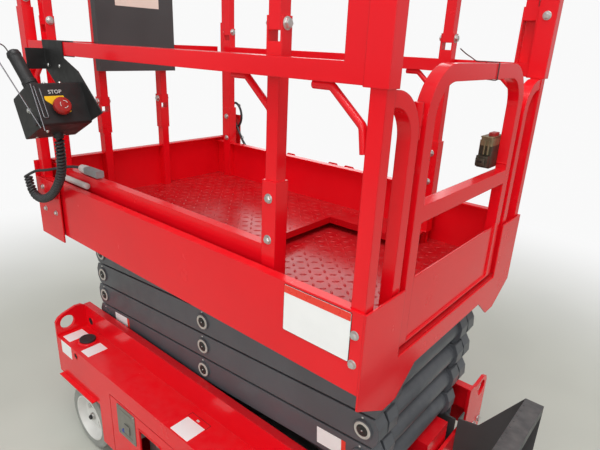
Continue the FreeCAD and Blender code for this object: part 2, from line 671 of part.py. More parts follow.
def platform_floor():
    return box((BACK + " + skin", "-platform_wide / 2 + skin", "floor_height - floor_thick"),
               ("platform_long - skin - 12", "platform_wide - 2 * skin", "floor_thick"))


def platform_underframe():
    top_pin = "(base_pin + 4 * level_rise)"
    under = "(floor_height - floor_thick)"
    inboard = "(%s - 4 - lug_thick)" % OUTER_BEAM
    lug = rod(("-pivot_back", inboard, top_pin), "30", "lug_thick", "Y")
    leg = box(("-pivot_back - 30", inboard, top_pin), ("60", "lug_thick", "%s - %s" % (under, top_pin)))
    bore = rod(("-pivot_back", inboard + " - 5", top_pin), "shaft_radius + running_gap", "lug_thick + 10", "Y")
    bracket = cut(fuse(lug, leg), bore)
    track_low = "(%s + roller_radius + seat_gap)" % top_pin
    track = box(("pivot_back / 8", INNER_BEAM + " + arm_wide + 3", track_low), ("arm_span / 2 - 60", "roller_wide + 4", "5"))
    web = box(("pivot_back / 8", INNER_BEAM + " + arm_wide + 13", track_low + " + 5"),
              ("arm_span / 2 - 60", "6", "%s - %s - 5" % (under, track_low)))
    side = fuse_apart(bracket, fuse(track, web))
    pieces = [side, mirrored(side)]
    for start in ("-300",):
        pieces.append(box((start, "-platform_wide / 2 + skin", under + " - 14"), ("40", "platform_wide - 2 * skin", "14")))
    return fuse_apart(*pieces)


def platform_sides():
    face = "(platform_wide / 2)"
    side = plate("YZ", BACK + " + skin", "platform_long - 2 * skin - 6", [
        (face, "side_bottom"), (face, SIDE_TOP), (face + " - side_lip", SIDE_TOP),
        (face + " - side_lip", SIDE_TOP + " - skin"), (face + " - skin", SIDE_TOP + " - skin"),
        (face + " - skin", "side_bottom")])
    rear_post = box((BACK + " + skin", OUTER_RAIL + " - 4", "side_bottom"), ("post_long + 4", "rail_wide + 1", "200"))
    front_post = box(("corner_post", OUTER_RAIL, "side_bottom"), ("post_long", "rail_wide", "200"))
    left = cut(side, rear_post, front_post)
    humps = [hump(centre) for centre in ("212", "18", "-50")]
    return fuse_apart(left, fuse(mirrored(left), *humps))


def hump(centre):
    """An ear that stands on the lip of the right-hand side."""
    foot = SIDE_TOP + " - skin"
    return plate("XZ", "-platform_wide / 2 + skin", "skin", [
        (centre + " - 32", foot), (centre + " + 32", foot), (centre + " + 32", SIDE_TOP + " + 12"),
        (centre + " + 15", SIDE_TOP + " + 30"), (centre + " - 15", SIDE_TOP + " + 30"),
        (centre + " - 32", SIDE_TOP + " + 12")])


def platform_rear_panel():
    face = "(platform_wide / 2)"
    low = "side_bottom - 31"
    half = [("opening_wide / 2", "floor_height - floor_thick"), ("opening_wide / 2", SIDE_TOP), (face, SIDE_TOP), (face, low),
            (face + " - 95", "side_bottom - skirt_drop"), (face + " - 143", "side_bottom - skirt_drop"),
            (face + " - 210", "side_bottom - skirt_mid")]
    corners = half + [("-(%s)" % y, z) for y, z in reversed(half)]
    return plate("YZ", BACK, "skin", corners)


def rear_posts():
    """The rear corner posts, the wide tubes above them and the bent entry tubes."""
    x_low = BACK + " + 6"
    lower = box((x_low, OUTER_RAIL + " - 3", "floor_height"), ("post_long", "rail_wide", "wide_post_foot - floor_height"))
    wide = box((BACK + " + 1", "platform_wide / 2 - wide_post_deep", "wide_post_foot"),
               ("wide_post_long", "wide_post_deep", "top_rail_top - wide_post_foot"))
    inward = value("arc_edge") + value("rail_wide") / 2
    start_y = value(OUTER_RAIL) - 3
    height = value("wide_post_foot") - value("rail_wide") / 2 - 2
    middle = value(BACK) + 6 + value("post_long") / 2
    points = [Vector(middle, start_y, height), Vector(middle, inward, height), Vector(middle, inward, value("floor_height"))]
    section = rectangle(points[0], Vector(1, 0, 0), Vector(0, 0, 1), value("rail_wide"), value("rail_wide"))
    arc = bar(points, value("arc_radius"), section)
    fixed = []
    for low in ("880", "1250"):
        fixed.append(hinge_knuckle((GATE_X, GATE_Y, low), "knuckle_radius", "knuckle_long / 2"))
        fixed.append(rod((GATE_X, GATE_Y, low), "hinge_pin", "knuckle_long * 1.5 + seat_gap"))
        fixed.append(box((GATE_X + " - 4", GATE_Y, low), ("8", "arc_edge - %s + 1" % GATE_Y, "knuckle_long / 2")))
    side = fuse(lower, wide, arc)
    rear_rail = box((BACK + " + 1", "-(platform_wide / 2 - wide_post_deep)", "top_rail_top - rail_tall"),
                    ("rail_wide", "platform_wide - 2 * wide_post_deep", "rail_tall"))
    return fuse(side, mirrored(side), rear_rail, *fixed)


GATE_X = "(-gate_plane + rail_wide / 2)"
GATE_Y = "(gate_wide / 2 + knuckle_radius + 3)"


def outer_rails():
    rear = BACK + " + 1 + wide_post_long"
    mid = box((rear, OUTER_RAIL, RAIL_LOW), ("corner_post - (%s)" % rear, "rail_wide", "rail_tall"))
    top = box((rear, OUTER_RAIL, "top_rail_top - rail_tall"), ("corner_post - (%s)" % rear, "rail_wide", "rail_tall"))
    corner = box(("corner_post", OUTER_RAIL, "floor_height"), ("post_long", "rail_wide", "top_rail_top - floor_height"))
    channel = box((rear, OUTER_RAIL, "mid_rail_top"), ("37", "rail_wide", "outer_hinge - mid_rail_top + 20"))
    hollow = box((rear + " + ear_skin", OUTER_RAIL + " - 1", "mid_rail_top"),
                 ("37 - 2 * ear_skin", "rail_wide - ear_skin + 1", "outer_hinge - mid_rail_top + 21"))
    upper = box((rear + " + ear_skin", OUTER_RAIL, "outer_hinge - hinge_tail"),
                ("37 - 2 * ear_skin", "rail_wide", "top_rail_top - rail_tall - outer_hinge + hinge_tail"))
    sleeve = box(("corner_post - 4", OUTER_RAIL + " - 3", "mid_rail_top - 80"), ("post_long + 8", "rail_wide + 5", "165"))
    middle = OUTER_RAIL + " + rail_wide / 2"
    back = "(%s + 6 + post_long + brace_radius + seat_gap)" % BACK
    rear_brace = brace(back, 1, middle)
    front_brace = brace("(corner_post - brace_radius + 2)", -1, middle)
    return pair(fuse(mid, top, corner, cut(channel, hollow), upper, sleeve, rear_brace, front_brace))


def brace(foot, turn, across):
    """A bent round brace from a post's face up to the underside of the middle rail."""
    x = value(foot)
    y = value(across)
    under = value(RAIL_LOW + " - brace_radius + 1")
    steps = ((0, -95), (6 * turn, -54), (68 * turn, 0), (104 * turn, 0))
    return round_bar([(x + step, y, under + drop) for step, drop in steps], value("brace_radius"), 14)


def gate():
    """The entry gate, a bent tube with a cross bar and a kick plate."""
    inset = value("gate_tube") / 2
    side = value("gate_wide") / 2 - inset
    x = -value("gate_plane") + value("rail_wide") / 2
    top = value("gate_top") - inset
    points = [Vector(x, -side, value("gate_bottom")), Vector(x, -side, top), Vector(x, side, top),
              Vector(x, side, value("gate_bottom"))]
    section = rectangle(points[0], Vector(1, 0, 0), Vector(0, 1, 0), value("rail_wide"), value("gate_tube"))
    hoop = bar(points, value("gate_corner"), section)
    across = "gate_wide - 2 * gate_tube"
    bar_mid = box(("-gate_plane", "-gate_wide / 2 + gate_tube", "gate_mid - rail_tall"), ("rail_wide", across, "rail_tall"))
    kick = box(("-gate_plane + 4", "-gate_wide / 2 + gate_tube", "gate_bottom"), ("skin", across, "kick_top - gate_bottom"))
    sill = box(("-gate_plane", "-gate_wide / 2 + gate_tube", "gate_bottom"), ("rail_wide", across, "skin"))
    pieces = [hoop, bar_mid, kick, sill]
    for low in ("880", "1250"):
        start = "%s + knuckle_long / 2 + seat_gap" % low
        knuckle = rod((GATE_X, GATE_Y, start), "knuckle_radius", "knuckle_long")
        leaf = box((GATE_X + " - 4", "gate_wide / 2 - 1", start), ("8", "%s - gate_wide / 2 + 1" % GATE_Y, "knuckle_long"))
        bore = rod((GATE_X, GATE_Y, start + " - 1"), "hinge_pin + running_gap", "knuckle_long + 2")
        pieces.append(cut(fuse(knuckle, leaf), bore))
    return fuse(*pieces)


# Roll-out deck

def extension_deck():
    edge = "(toe_wide / 2)"
    under = "deck_height - 5"
    inner = "(strip_edge + 10)"
    half = [(FRONT + " - 4", edge + " - skin"), ("-strip_back", edge + " - skin"), ("-strip_back", inner), ("-deck_back", inner)]
    corners = half + [(x, "-(%s)" % y) for x, y in reversed(half)]
    deck = plate("XY", under, "5", corners)
    lip = box(("-deck_back", "-" + inner, "deck_height - 20"), ("skin", "2 * " + inner, "15"))
    edge_strip = box(("-strip_back", inner, "deck_height - 20"), ("strip_back - deck_back + skin", "skin", "15"))
    runner = box(("-strip_back", edge + " - 24", "floor_height + seat_gap"),
                 ("strip_back + %s - 4" % FRONT, "20", "deck_height - 5 - floor_height - seat_gap"))
    return fuse(deck, lip, edge_strip, mirrored(edge_strip), runner, mirrored(runner))


def sleeve_box(start):
    return box((start + " - 4", INNER_MID + " - sleeve_wide / 2", "deck_height"),
               ("post_long + 8", "sleeve_wide", "sleeve_top - deck_height"))


def toe_boards():
    edge = "(toe_wide / 2)"
    board = plate("YZ", "-mid_post", "mid_post + %s - 4" % FRONT, [
        (edge, "floor_height + seat_gap"), (edge, "toe_height"), (edge + " - toe_lip", "toe_height"),
        (edge + " - toe_lip", "toe_height - skin"), (edge + " - skin", "toe_height - skin"),
        (edge + " - skin", "floor_height + seat_gap")])
    return pair(cut(board, sleeve_box("-mid_post"), sleeve_box("front_post")))


def front_panel():
    edge = "(platform_wide / 2 + wrap_gap + skin)"
    face = box((FRONT + " - skin", "-" + edge, "side_bottom - 21"), ("skin", "2 * " + edge, "front_height - side_bottom + 21"))
    wrap = box((FRONT + " - wrap_long", edge + " - skin", "side_bottom - 21"),
               ("wrap_long - skin", "skin", "side_tall + 21"))
    cap = box((FRONT + " - skin - 20", "-toe_wide / 2", "front_height - skin"), ("20", "toe_wide", "skin"))
    posts = [box((GUARD_X, centre + " - rail_wide / 2", "front_height - 2 * skin"), ("post_long", "rail_wide", "3 * skin"))
             for centre in ("guard_post", "-guard_mate")]
    return fuse(face, wrap, mirrored(wrap), cut(cap, *posts))


def ear_pair(start, across, low, high):
    """Two ears on the sides of a post, which hold a hinge bolt along X."""
    return [box((start + " - ear_skin", across, low), ("ear_skin", "rail_wide", "%s - (%s)" % (high, low))),
            box((start + " + post_long", across, low), ("ear_skin", "rail_wide", "%s - (%s)" % (high, low)))]


def extension_rails():
    pieces = []
    for start in ("-mid_post", "front_post"):
        pieces.append(sleeve_box(start))
        pieces.append(box((start, INNER_RAIL, "sleeve_top"), ("post_long", "rail_wide", "inner_hinge - hinge_drop - sleeve_top")))
        pieces += ear_pair(start, INNER_RAIL, "inner_hinge - 61", "inner_hinge + 12")
        pieces.append(rod((start + " - ear_skin - 3", INNER_MID, "inner_hinge"), "bolt_radius", "post_long + 2 * ear_skin + 6", "X"))
    pieces.append(box(("-mid_post + post_long", INNER_RAIL, RAIL_LOW),
                      ("mid_post - post_long + front_post", "rail_wide", "rail_tall")))
    pieces.append(brace("(-mid_post + post_long - 3)", 1, INNER_MID))
    side = fuse(*pieces)
    posts = []
    for centre in ("guard_post", "-guard_mate"):
        low = "(front_hinge - 32)"
        posts.append(box((GUARD_X, centre + " - rail_wide / 2", "deck_height"), ("post_long", "rail_wide", low + " - deck_height")))
        for start in (centre + " - rail_wide / 2 - ear_skin", centre + " + rail_wide / 2"):
            posts.append(box((GUARD_X, start, "front_hinge - 100"), ("post_long", "ear_skin", "114")))
        posts.append(rod((GUARD_X + " + post_long / 2", centre + " - rail_wide / 2 - ear_skin - 3", "front_hinge"), "bolt_radius",
                         "rail_wide + 2 * ear_skin + 6", "Y"))
    return fuse_apart(side, mirrored(side), *posts_as_two(posts))


GUARD_X = "(%s - skin - post_long)" % FRONT


def posts_as_two(posts):
    return [fuse(*posts[:4]), fuse(*posts[4:])]


def inner_frame():
    narrow = "(post_long - 0.6)"
    pieces = []
    for start in ("-mid_post", "front_post"):
        post = box((start + " + 0.3", INNER_RAIL, "inner_hinge - hinge_tail"),
                   (narrow, "rail_wide", "top_rail_top - inner_hinge + hinge_tail"))
        bore = rod((start + " - 5", INNER_MID, "inner_hinge"), "bolt_radius + running_gap", "post_long + 10", "X")
        pieces.append(cut(post, bore))
    pieces.append(box(("-mid_post + 0.3 + " + narrow, INNER_RAIL, "top_rail_top - rail_tall"),
                      ("mid_post + front_post - " + narrow, "rail_wide", "rail_tall")))
    return fuse(*pieces)


def front_guard():
    narrow = "(rail_wide - 0.6)"
    pieces = []
    for centre in ("guard_post", "-guard_mate"):
        post = box((GUARD_X, centre + " - %s / 2" % narrow, "front_hinge - 15"),
                   ("post_long", narrow, "top_rail_top - front_hinge + 15"))
        bore = rod((GUARD_X + " + post_long / 2", centre + " - 20", "front_hinge"), "bolt_radius + running_gap", "40", "Y")
        pieces.append(cut(post, bore))
    for top in ("mid_rail_top", "top_rail_top"):
        pieces.append(box((GUARD_X + " + 1", "-guard_wide / 2", top + " - rail_tall"), ("post_long - 2", "guard_wide", "rail_tall")))
    return fuse(*pieces)


def document_box():
    return box((GUARD_X + " - box_deep", "-box_right", "box_bottom"), ("box_deep", "box_left + box_right", "box_top - box_bottom"))


def control_bracket():
    """A sheet hooked over the left rail, whose cheek carries the control box outside."""
    long = "hook_front - hook_back"
    outer = OUTER_RAIL + " + rail_wide"
    top = box(("hook_back", OUTER_RAIL + " - sheet_skin", "mid_rail_top"), (long, "rail_wide + 2 * sheet_skin", "sheet_skin"))
    inner = box(("hook_back", OUTER_RAIL + " - sheet_skin", "mid_rail_top - rail_tall - 4"),
                (long, "sheet_skin", "rail_tall + 4"))
    cheek = plate("XZ", outer, "sheet_skin", [
        ("hook_back", "mid_rail_top + sheet_skin"), ("hook_front", "mid_rail_top + sheet_skin"),
        ("hook_front - 8", "mid_rail_top - 70"), ("control_back + 140", "control_low + 52"),
        ("control_back + 100", "control_low - 40"), ("control_back - 6", "control_low + 8"),
        ("control_back - 50", "control_low + 27"), ("control_back + 50", "control_low + 116"),
        ("hook_back", "mid_rail_top - 38")])
    back = box(("hook_front - 8 - sheet_skin", outer, "mid_rail_top - 70"), ("sheet_skin", "51", "52"))
    return fuse(top, inner, cheek, back)


def set_control(piece):
    """Lays a piece that is drawn square to the control box into the box's tilt."""
    piece.Placement = FreeCAD.Placement(Vector(), FreeCAD.Rotation(Vector(0, 1, 0), 1))
    place(piece, ("control_back", OUTER_RAIL + " + rail_wide + sheet_skin", "control_low"))
    piece.setExpression("Placement.Rotation.Angle", bound("control_tilt"))
    return piece


STICK = [("0", "-4"), ("13", "-4"), ("13", "3"), ("17", "6"), ("17", "13"), ("15", "17"), ("15", "74"), ("16", "80"),
         ("14", "88"), ("8", "92"), ("0", "92")]


def control_box():
    """The box with its lever on top and the cord's gland below."""
    edge = "control_edge"
    shell = plate("XZ", "0", "control_wide", [
        ("0", edge), (edge, "0"), ("control_deep - " + edge, "0"), ("control_deep", edge),
        ("control_deep", "control_tall - " + edge), ("control_deep - " + edge, "control_tall"),
        (edge, "control_tall"), ("0", "control_tall - " + edge)])
    stick = turned(STICK, ("0", "0", "0"), "Z")
    stick.Placement = FreeCAD.Placement(Vector(), FreeCAD.Rotation(Vector(-0.86, 0.51, 0), 11))
    place(stick, ("26", "control_wide - 16", "control_tall"))
    collar = rod(("-4", "68", "40"), "14", "6", "X")
    body = set_control(fuse(shell, stick, collar))
    gland = rod((str(COIL_ROUTE[0][0]), str(COIL_ROUTE[0][1]), str(COIL_ROUTE[0][2] + 0.3)), "coil_radius - 2", "30")
    return fuse(body, gland)


def stop_button():
    """The mushroom button on the face of the control box."""
    cap = turned([("0", "0"), ("14", "0"), ("button_radius", "-6"), ("button_radius", "-15"),
                  ("button_radius - 3", "-20"), ("0", "-22")], ("-4", "68", "40"), "X")
    return set_control(fuse_apart(cap))


def control_guards():
    """Bent wires that keep a sleeve off the face, and the hoop around the lever."""
    wire = value("guard_wire")
    face = -wire
    tall = value("control_tall")
    wide = value("control_wide")
    hairpin = round_bar([(face, wide - 9, tall - 8), (face, wide - 11, 18), (face, wide - 21, 18), (face, wide - 20, tall - 14)],
                        wire * 0.9, 4.5)
    straight = round_bar([(face, wide - 3, -12), (face, wide - 3, tall - 3)], wire)
    hoop = round_bar([(3, wide + wire + 0.3, -4), (5, wide + 61, 210), (62, wide - 2, 214), (95, wide - 30, tall + 1.4)],
                     wire, 18)
    return set_control(fuse_apart(hairpin, straight, hoop))


# The curly cord from the control box to its straight lead, which ends in the connector.
COIL_ROUTE = [(287, 434, 1140.2), (287, 434, 1110), (297, 430, 1076), (318, 425, 1041), (357, 420, 1001),
              (412, 415, 960), (484, 412, 928), (540, 410, 924), (566, 410, 941), (576, 409.5, 961), (581, 409, 980)]
LEAD_ROUTE = [(583, 408.9, 984), (562, 402.5, 996), (538, 393, 1003), (515, 383, 1006), (492, 369, 1013),
              (468, 352, 1021), (440, 337, 1029), (410.4, 328, 1031.8)]
# The cable that loops above its plate at the far corner and goes down inside the side.
FAR_ROUTE = [(518.2, -371.5, 1066), (500, -371, 1068), (483, -371, 1082), (475, -371, 1106), (478, -371, 1132),
             (492, -371, 1154), (512, -372, 1164), (529, -372, 1152), (531, -371, 1129), (519, -367, 1108),
             (503, -362, 1088), (487, -361, 1066), (470, -358, 1044), (449, -353, 1021), (423, -349.6, 1000),
             (396, -349.6, 979), (372, -349.6, 954), (353, -349.6, 926), (342, -349.6, 896), (338, -349.6, 866),
             (337, -349.6, 839.4)]


def connector():
    """The grey plug and its pale collar, lying on the left toe board."""
    outline = [("0", "0"), ("16", "0"), ("17.5", "3"), ("17.5", "98"), ("16", "102"), ("17.5", "106"), ("18.5", "120"),
               ("16", "145"), ("12", "149"), ("0", "149")]
    return turned(outline, ("260", "toe_wide / 2 - toe_lip / 2", "toe_height + 18.8"), "X")


def gate_latch():
    """The latch on the inner face of the gate's free upright."""
    face = "-gate_plane + rail_wide"
    side = "-gate_wide / 2 + 10"
    upper = box((face, side, "gate_mid + 44"), ("26", "70", "36"))
    lower = plate("YZ", face, "32", [
        (side, "gate_mid + 4"), (side + " + 82", "gate_mid + 2"), (side + " + 98", "gate_mid + 12"),
        (side + " + 98", "gate_mid + 32"), (side + " + 80", "gate_mid + 45"), (side, "gate_mid + 45")])
    tab = box((face + " + 4", side + " + 24", "gate_mid + 80"), ("14", "24", "7"))
    return fuse(upper, lower, tab)


def cable_plate():
    """The plate on the far front corner post and its two glands."""
    face = "-platform_wide / 2 + 2"
    plate_piece = box(("corner_post - 47", face + " - skin", "side_bottom + 181"), ("76", "skin", "115"))
    upper = rod(("corner_post - 13", face, "1066"), "8.4", "12", "Y")
    lower = rod(("corner_post - 21", face, "1028"), "9", "12", "Y")
    return fuse(plate_piece, upper, lower)


node("chassis_sides", pair(chassis_sides()))
node("chassis_ends", chassis_ends())
node("chassis_tub", chassis_tub())
node("chassis_webs", chassis_webs())
node("scissor_base", scissor_base())
node("rear_stub_axles", stub_axles())
node("ladder", ladder())
node("valve_cover", valve_cover())
node("filler_cap", filler_cap())
node("ground_controls", ground_controls())
node("tray_left", tray(False))
node("tray_right", tray(True))
node("battery_left", tray_load(False))
node("power_pack_right", tray_load(True))
node("knuckle_left", knuckle())
node("knuckle_right", mirrored(knuckle()))
for end_name, is_front in (("front", True), ("rear", False)):
    for side_name, is_left in (("left", True), ("right", False)):
        for part_name in ("tyre", "hub"):
            node("%s_%s_%s" % (part_name, end_name, side_name), wheel(is_front, is_left, part_name))
for number in range(1, 5):
    node("inner_arms_%d" % number, inner_arms(number))
    node("outer_arms_%d" % number, outer_arms(number))
node("lift_barrel", lift_barrel())
node("lift_rod", lift_rod())
node("platform_floor", platform_floor())
node("platform_underframe", platform_underframe())
node("platform_sides", platform_sides())
node("platform_rear_panel", platform_rear_panel())
node("rear_posts", rear_posts())
node("outer_rails", outer_rails())
node("gate", gate())
node("extension_deck", extension_deck())
node("toe_boards", toe_boards())
node("front_panel", front_panel())
node("extension_rails", extension_rails())
left_frame = node("inner_frame_left", inner_frame())
node("inner_frame_right", mirrored(inner_frame()))
node("front_guard", front_guard())
node("document_box", document_box())
node("control_bracket", control_bracket())
node("control_box", control_box())
node("stop_button", stop_button())
node("control_guards", control_guards())
node("curly_cord", round_bar(COIL_ROUTE, value("coil_radius")))
node("connector_lead", round_bar(LEAD_ROUTE, value("lead_radius")))
node("connector", connector())
node("far_cable", round_bar(FAR_ROUTE, value("cable_radius")))
node("gate_latch", gate_latch())
node("cable_plate", cable_plate())

doc.recompute()
faults = [piece.Label for piece in doc.Objects if {"Invalid", "Error"} & set(piece.State)]
if faults:
    raise SystemExit("failed objects: %s" % ", ".join(faults))
for piece in NODES:
    shape = piece.Shape
    if shape.isNull() or not shape.isValid():
        raise SystemExit("bad shape: " + piece.Label)
for piece in NODES:
    piece.Shape.exportStep("parts/%s.step" % piece.Label)
print("%d pieces written" % len(NODES))
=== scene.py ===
"""Looks of the scissor lift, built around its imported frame. Metres throughout."""

import json
import math

import bmesh
import bpy
from mathutils import Matrix, Vector


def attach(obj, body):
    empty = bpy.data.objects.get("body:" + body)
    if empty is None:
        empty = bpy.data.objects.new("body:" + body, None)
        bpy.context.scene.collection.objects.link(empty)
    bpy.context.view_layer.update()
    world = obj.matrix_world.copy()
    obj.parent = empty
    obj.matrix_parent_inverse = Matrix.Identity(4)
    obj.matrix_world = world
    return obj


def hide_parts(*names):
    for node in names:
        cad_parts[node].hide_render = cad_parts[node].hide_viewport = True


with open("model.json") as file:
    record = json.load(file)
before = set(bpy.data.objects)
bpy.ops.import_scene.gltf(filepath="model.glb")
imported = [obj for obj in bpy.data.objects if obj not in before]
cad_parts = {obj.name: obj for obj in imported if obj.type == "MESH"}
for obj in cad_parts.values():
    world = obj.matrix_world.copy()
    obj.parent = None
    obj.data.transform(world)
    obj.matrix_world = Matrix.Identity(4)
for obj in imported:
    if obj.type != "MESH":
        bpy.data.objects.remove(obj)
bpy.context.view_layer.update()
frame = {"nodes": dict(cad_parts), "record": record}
NODES = frame["nodes"]
scene = bpy.context.scene
scene.view_settings.view_transform = "Standard"

# Directions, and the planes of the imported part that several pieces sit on

FORWARD, LEFT, UP = (1, 0, 0), (0, 1, 0), (0, 0, 1)
BACKWARD = (-1, 0, 0)
SIDE_FACE = 0.380
FLAT_TOP = 0.390
DECK_TOP = 0.878
FLOOR_TOP = 0.839
ARM_FACE = 0.238
INNER_POST = 0.3325
OUTER_POST = 0.3655
AXLE_X = 0.465
AXLE_HEIGHT = 0.115
WHEEL_MIDDLE = 0.328
WHEEL_FACE = 0.368


# Camera, fitted to straight edges of the photograph

CAMERA_PLACE = (-0.983, 0.997, 1.388)
FOCAL_LENGTH = 29.78
R_RIGHT = Vector((-0.759142, -0.649517, 0.042802))
R_DOWN = Vector((-0.252476, 0.233205, -0.93908))
R_AHEAD = Vector((0.599966, -0.723701, -0.341024))
lens = bpy.data.cameras.new("camera")
lens.sensor_width = 36.0
lens.lens = FOCAL_LENGTH
lens.clip_start = 0.02
lens.clip_end = 200.0
camera = bpy.data.objects.new("camera", lens)
turn = Matrix((R_RIGHT, -R_DOWN, -R_AHEAD)).transposed()
camera.matrix_world = Matrix.Translation(CAMERA_PLACE) @ turn.to_4x4()
scene.collection.objects.link(camera)
scene.camera = camera


# Materials

NOISE_LOW, NOISE_HIGH = 0.3, 0.7
RAMP_LOW, RAMP_HIGH = 0.32, 0.68
DUST_COLOUR = (0.5, 0.47, 0.43, 1)
DUST_GRAIN = 38.0
COAT_ROUGHNESS = 0.09
RELIEF_DEPTH = 0.0006


def noise(items, links, place, scale, detail):
    """A noise texture in the object's own space."""
    made = items.new("ShaderNodeTexNoise")
    made.inputs["Scale"].default_value = scale
    made.inputs["Detail"].default_value = detail
    links.new(place.outputs["Object"], made.inputs["Vector"])
    return made


def ranged(items, links, source, low, high):
    """The middle of a noise's values, stretched from low to high."""
    made = items.new("ShaderNodeMapRange")
    made.inputs["From Min"].default_value = NOISE_LOW
    made.inputs["From Max"].default_value = NOISE_HIGH
    made.inputs["To Min"].default_value = low
    made.inputs["To Max"].default_value = high
    links.new(source, made.inputs["Value"])
    return made.outputs["Result"]


def finish_of(name, colour, rough, spread, patch, grain, bump, metal=0.0, coat=0.0, edge=0.0, dust=0.0,
              gloss=0.5):
    """A painted, plated or moulded surface with cloudy colour, uneven gloss and a fine grain."""
    made = bpy.data.materials.new(name)
    made.use_nodes = True
    items = made.node_tree.nodes
    links = made.node_tree.links
    shader = items["Principled BSDF"]
    shader.inputs["Metallic"].default_value = metal
    shader.inputs["Coat Weight"].default_value = coat
    shader.inputs["Coat Roughness"].default_value = COAT_ROUGHNESS
    shader.inputs["Specular IOR Level"].default_value = gloss
    place = items.new("ShaderNodeTexCoord")
    cloud = noise(items, links, place, patch, 6.0)
    ramp = items.new("ShaderNodeValToRGB")
    ramp.color_ramp.elements[0].position = RAMP_LOW
    ramp.color_ramp.elements[0].color = (*[c * (1 - spread) for c in colour], 1)
    ramp.color_ramp.elements[1].position = RAMP_HIGH
    ramp.color_ramp.elements[1].color = (*[min(1.0, c * (1 + spread)) for c in colour], 1)
    links.new(cloud.outputs["Fac"], ramp.inputs["Fac"])
    skin = ramp.outputs["Color"]
    if dust:
        slope = items.new("ShaderNodeSeparateXYZ")
        shape = items.new("ShaderNodeNewGeometry")
        links.new(shape.outputs["Normal"], slope.inputs["Vector"])
        speck = noise(items, links, place, DUST_GRAIN, 9.0)
        amount = items.new("ShaderNodeMath")
        amount.operation = "MULTIPLY"
        amount.use_clamp = True
        links.new(slope.outputs["Z"], amount.inputs[0])
        links.new(ranged(items, links, speck.outputs["Fac"], 0.0, dust), amount.inputs[1])
        blend = items.new("ShaderNodeMix")
        blend.data_type = "RGBA"
        blend.inputs["B"].default_value = DUST_COLOUR
        links.new(amount.outputs["Value"], blend.inputs["Factor"])
        links.new(skin, blend.inputs["A"])
        skin = blend.outputs["Result"]
    links.new(skin, shader.inputs["Base Color"])
    fine = noise(items, links, place, grain, 3.0)
    smear = noise(items, links, place, patch * 4.0, 5.0)
    links.new(ranged(items, links, smear.outputs["Fac"], rough * 0.8, min(1.0, rough * 1.25)),
              shader.inputs["Roughness"])
    relief = items.new("ShaderNodeBump")
    relief.inputs["Strength"].default_value = bump
    relief.inputs["Distance"].default_value = RELIEF_DEPTH
    links.new(fine.outputs["Fac"], relief.inputs["Height"])
    if edge:
        rounding = items.new("ShaderNodeBevel")
        rounding.samples = 4
        rounding.inputs["Radius"].default_value = edge
        links.new(rounding.outputs["Normal"], relief.inputs["Normal"])
    links.new(relief.outputs["Normal"], shader.inputs["Normal"])
    made.diffuse_color = (*colour, 1)
    return made


RED = finish_of("red_paint", (0.84, 0.004, 0.012), 0.22, coat=0.14, spread=0.05, patch=3.0, grain=420.0,
                bump=0.05, edge=0.0028, dust=0.03, gloss=0.36)
RING = finish_of("pin_ring", (0.52, 0.50, 0.45), 0.38, spread=0.15, patch=40.0, grain=600.0, bump=0.1)
ARM = finish_of("arm_paint", (0.083, 0.088, 0.100), 0.42, coat=0.15, spread=0.10, patch=7.0, grain=500.0,
                bump=0.12, edge=0.003, dust=0.10)
CHARCOAL = finish_of("charcoal_paint", (0.060, 0.061, 0.063), 0.46, spread=0.12, patch=8.0, grain=480.0,
                     bump=0.15, edge=0.0015, dust=0.12)
BLACK = finish_of("black_plastic", (0.022, 0.022, 0.024), 0.55, spread=0.15, patch=14.0, grain=900.0,
                  bump=0.30)
BOX = finish_of("box_coat", (0.012, 0.012, 0.012), 0.46, spread=0.15, patch=10.0, grain=700.0,
                bump=0.25, edge=0.002)
TYRE = finish_of("tyre_rubber", (0.31, 0.32, 0.295), 0.78, spread=0.08, patch=16.0, grain=380.0,
                 bump=0.35, dust=0.15)
CREAM = finish_of("cream_paint", (0.72, 0.72, 0.69), 0.40, spread=0.06, patch=12.0, grain=500.0, bump=0.10)
ZINC = finish_of("zinc_plate", (0.60, 0.60, 0.58), 0.34, metal=0.9, spread=0.12, patch=45.0,
                 grain=700.0, bump=0.08)
CHROME = finish_of("chrome_plate", (0.80, 0.80, 0.82), 0.12, metal=1.0, spread=0.03, patch=20.0,
                   grain=600.0, bump=0.02)
DECK = finish_of("deck_paint", (0.54, 0.003, 0.008), 0.22, coat=0.08, spread=0.10, patch=9.0, grain=300.0,
                 bump=0.08, dust=0.04, gloss=0.36)
CASE = finish_of("battery_case", (0.10, 0.10, 0.11), 0.6, spread=0.12, patch=12.0, grain=600.0, bump=0.2)
RUBBER = finish_of("black_rubber", (0.026, 0.026, 0.027), 0.38, spread=0.12, patch=30.0, grain=900.0,
                   bump=0.12)
STOP_RED = finish_of("red_plastic", (0.36, 0.018, 0.014), 0.32, spread=0.05, patch=30.0, grain=800.0,
                     bump=0.04)
GREY = finish_of("grey_plastic", (0.30, 0.31, 0.31), 0.5, spread=0.08, patch=25.0, grain=700.0, bump=0.12)
PALE = finish_of("pale_plastic", (0.66, 0.66, 0.63), 0.42, spread=0.05, patch=25.0, grain=700.0, bump=0.08)
WHITE = finish_of("label_film", (0.93, 0.93, 0.92), 0.35, spread=0.02, patch=20.0, grain=300.0, bump=0.02)
LABEL_RED = finish_of("label_red", (0.86, 0.045, 0.025), 0.30, spread=0.03, patch=20.0, grain=300.0,
                      bump=0.02)
YELLOW = finish_of("yellow_plate", (0.86, 0.52, 0.01), 0.35, spread=0.04, patch=30.0, grain=500.0, bump=0.03)
PIN_DARK = finish_of("pin_steel", (0.035, 0.036, 0.034), 0.4, metal=0.4, spread=0.3, patch=60.0,
                     grain=600.0, bump=0.2)
OLIVE = finish_of("latch_steel", (0.060, 0.050, 0.034), 0.4, metal=0.6, spread=0.3, patch=60.0,
                  grain=500.0, bump=0.15)
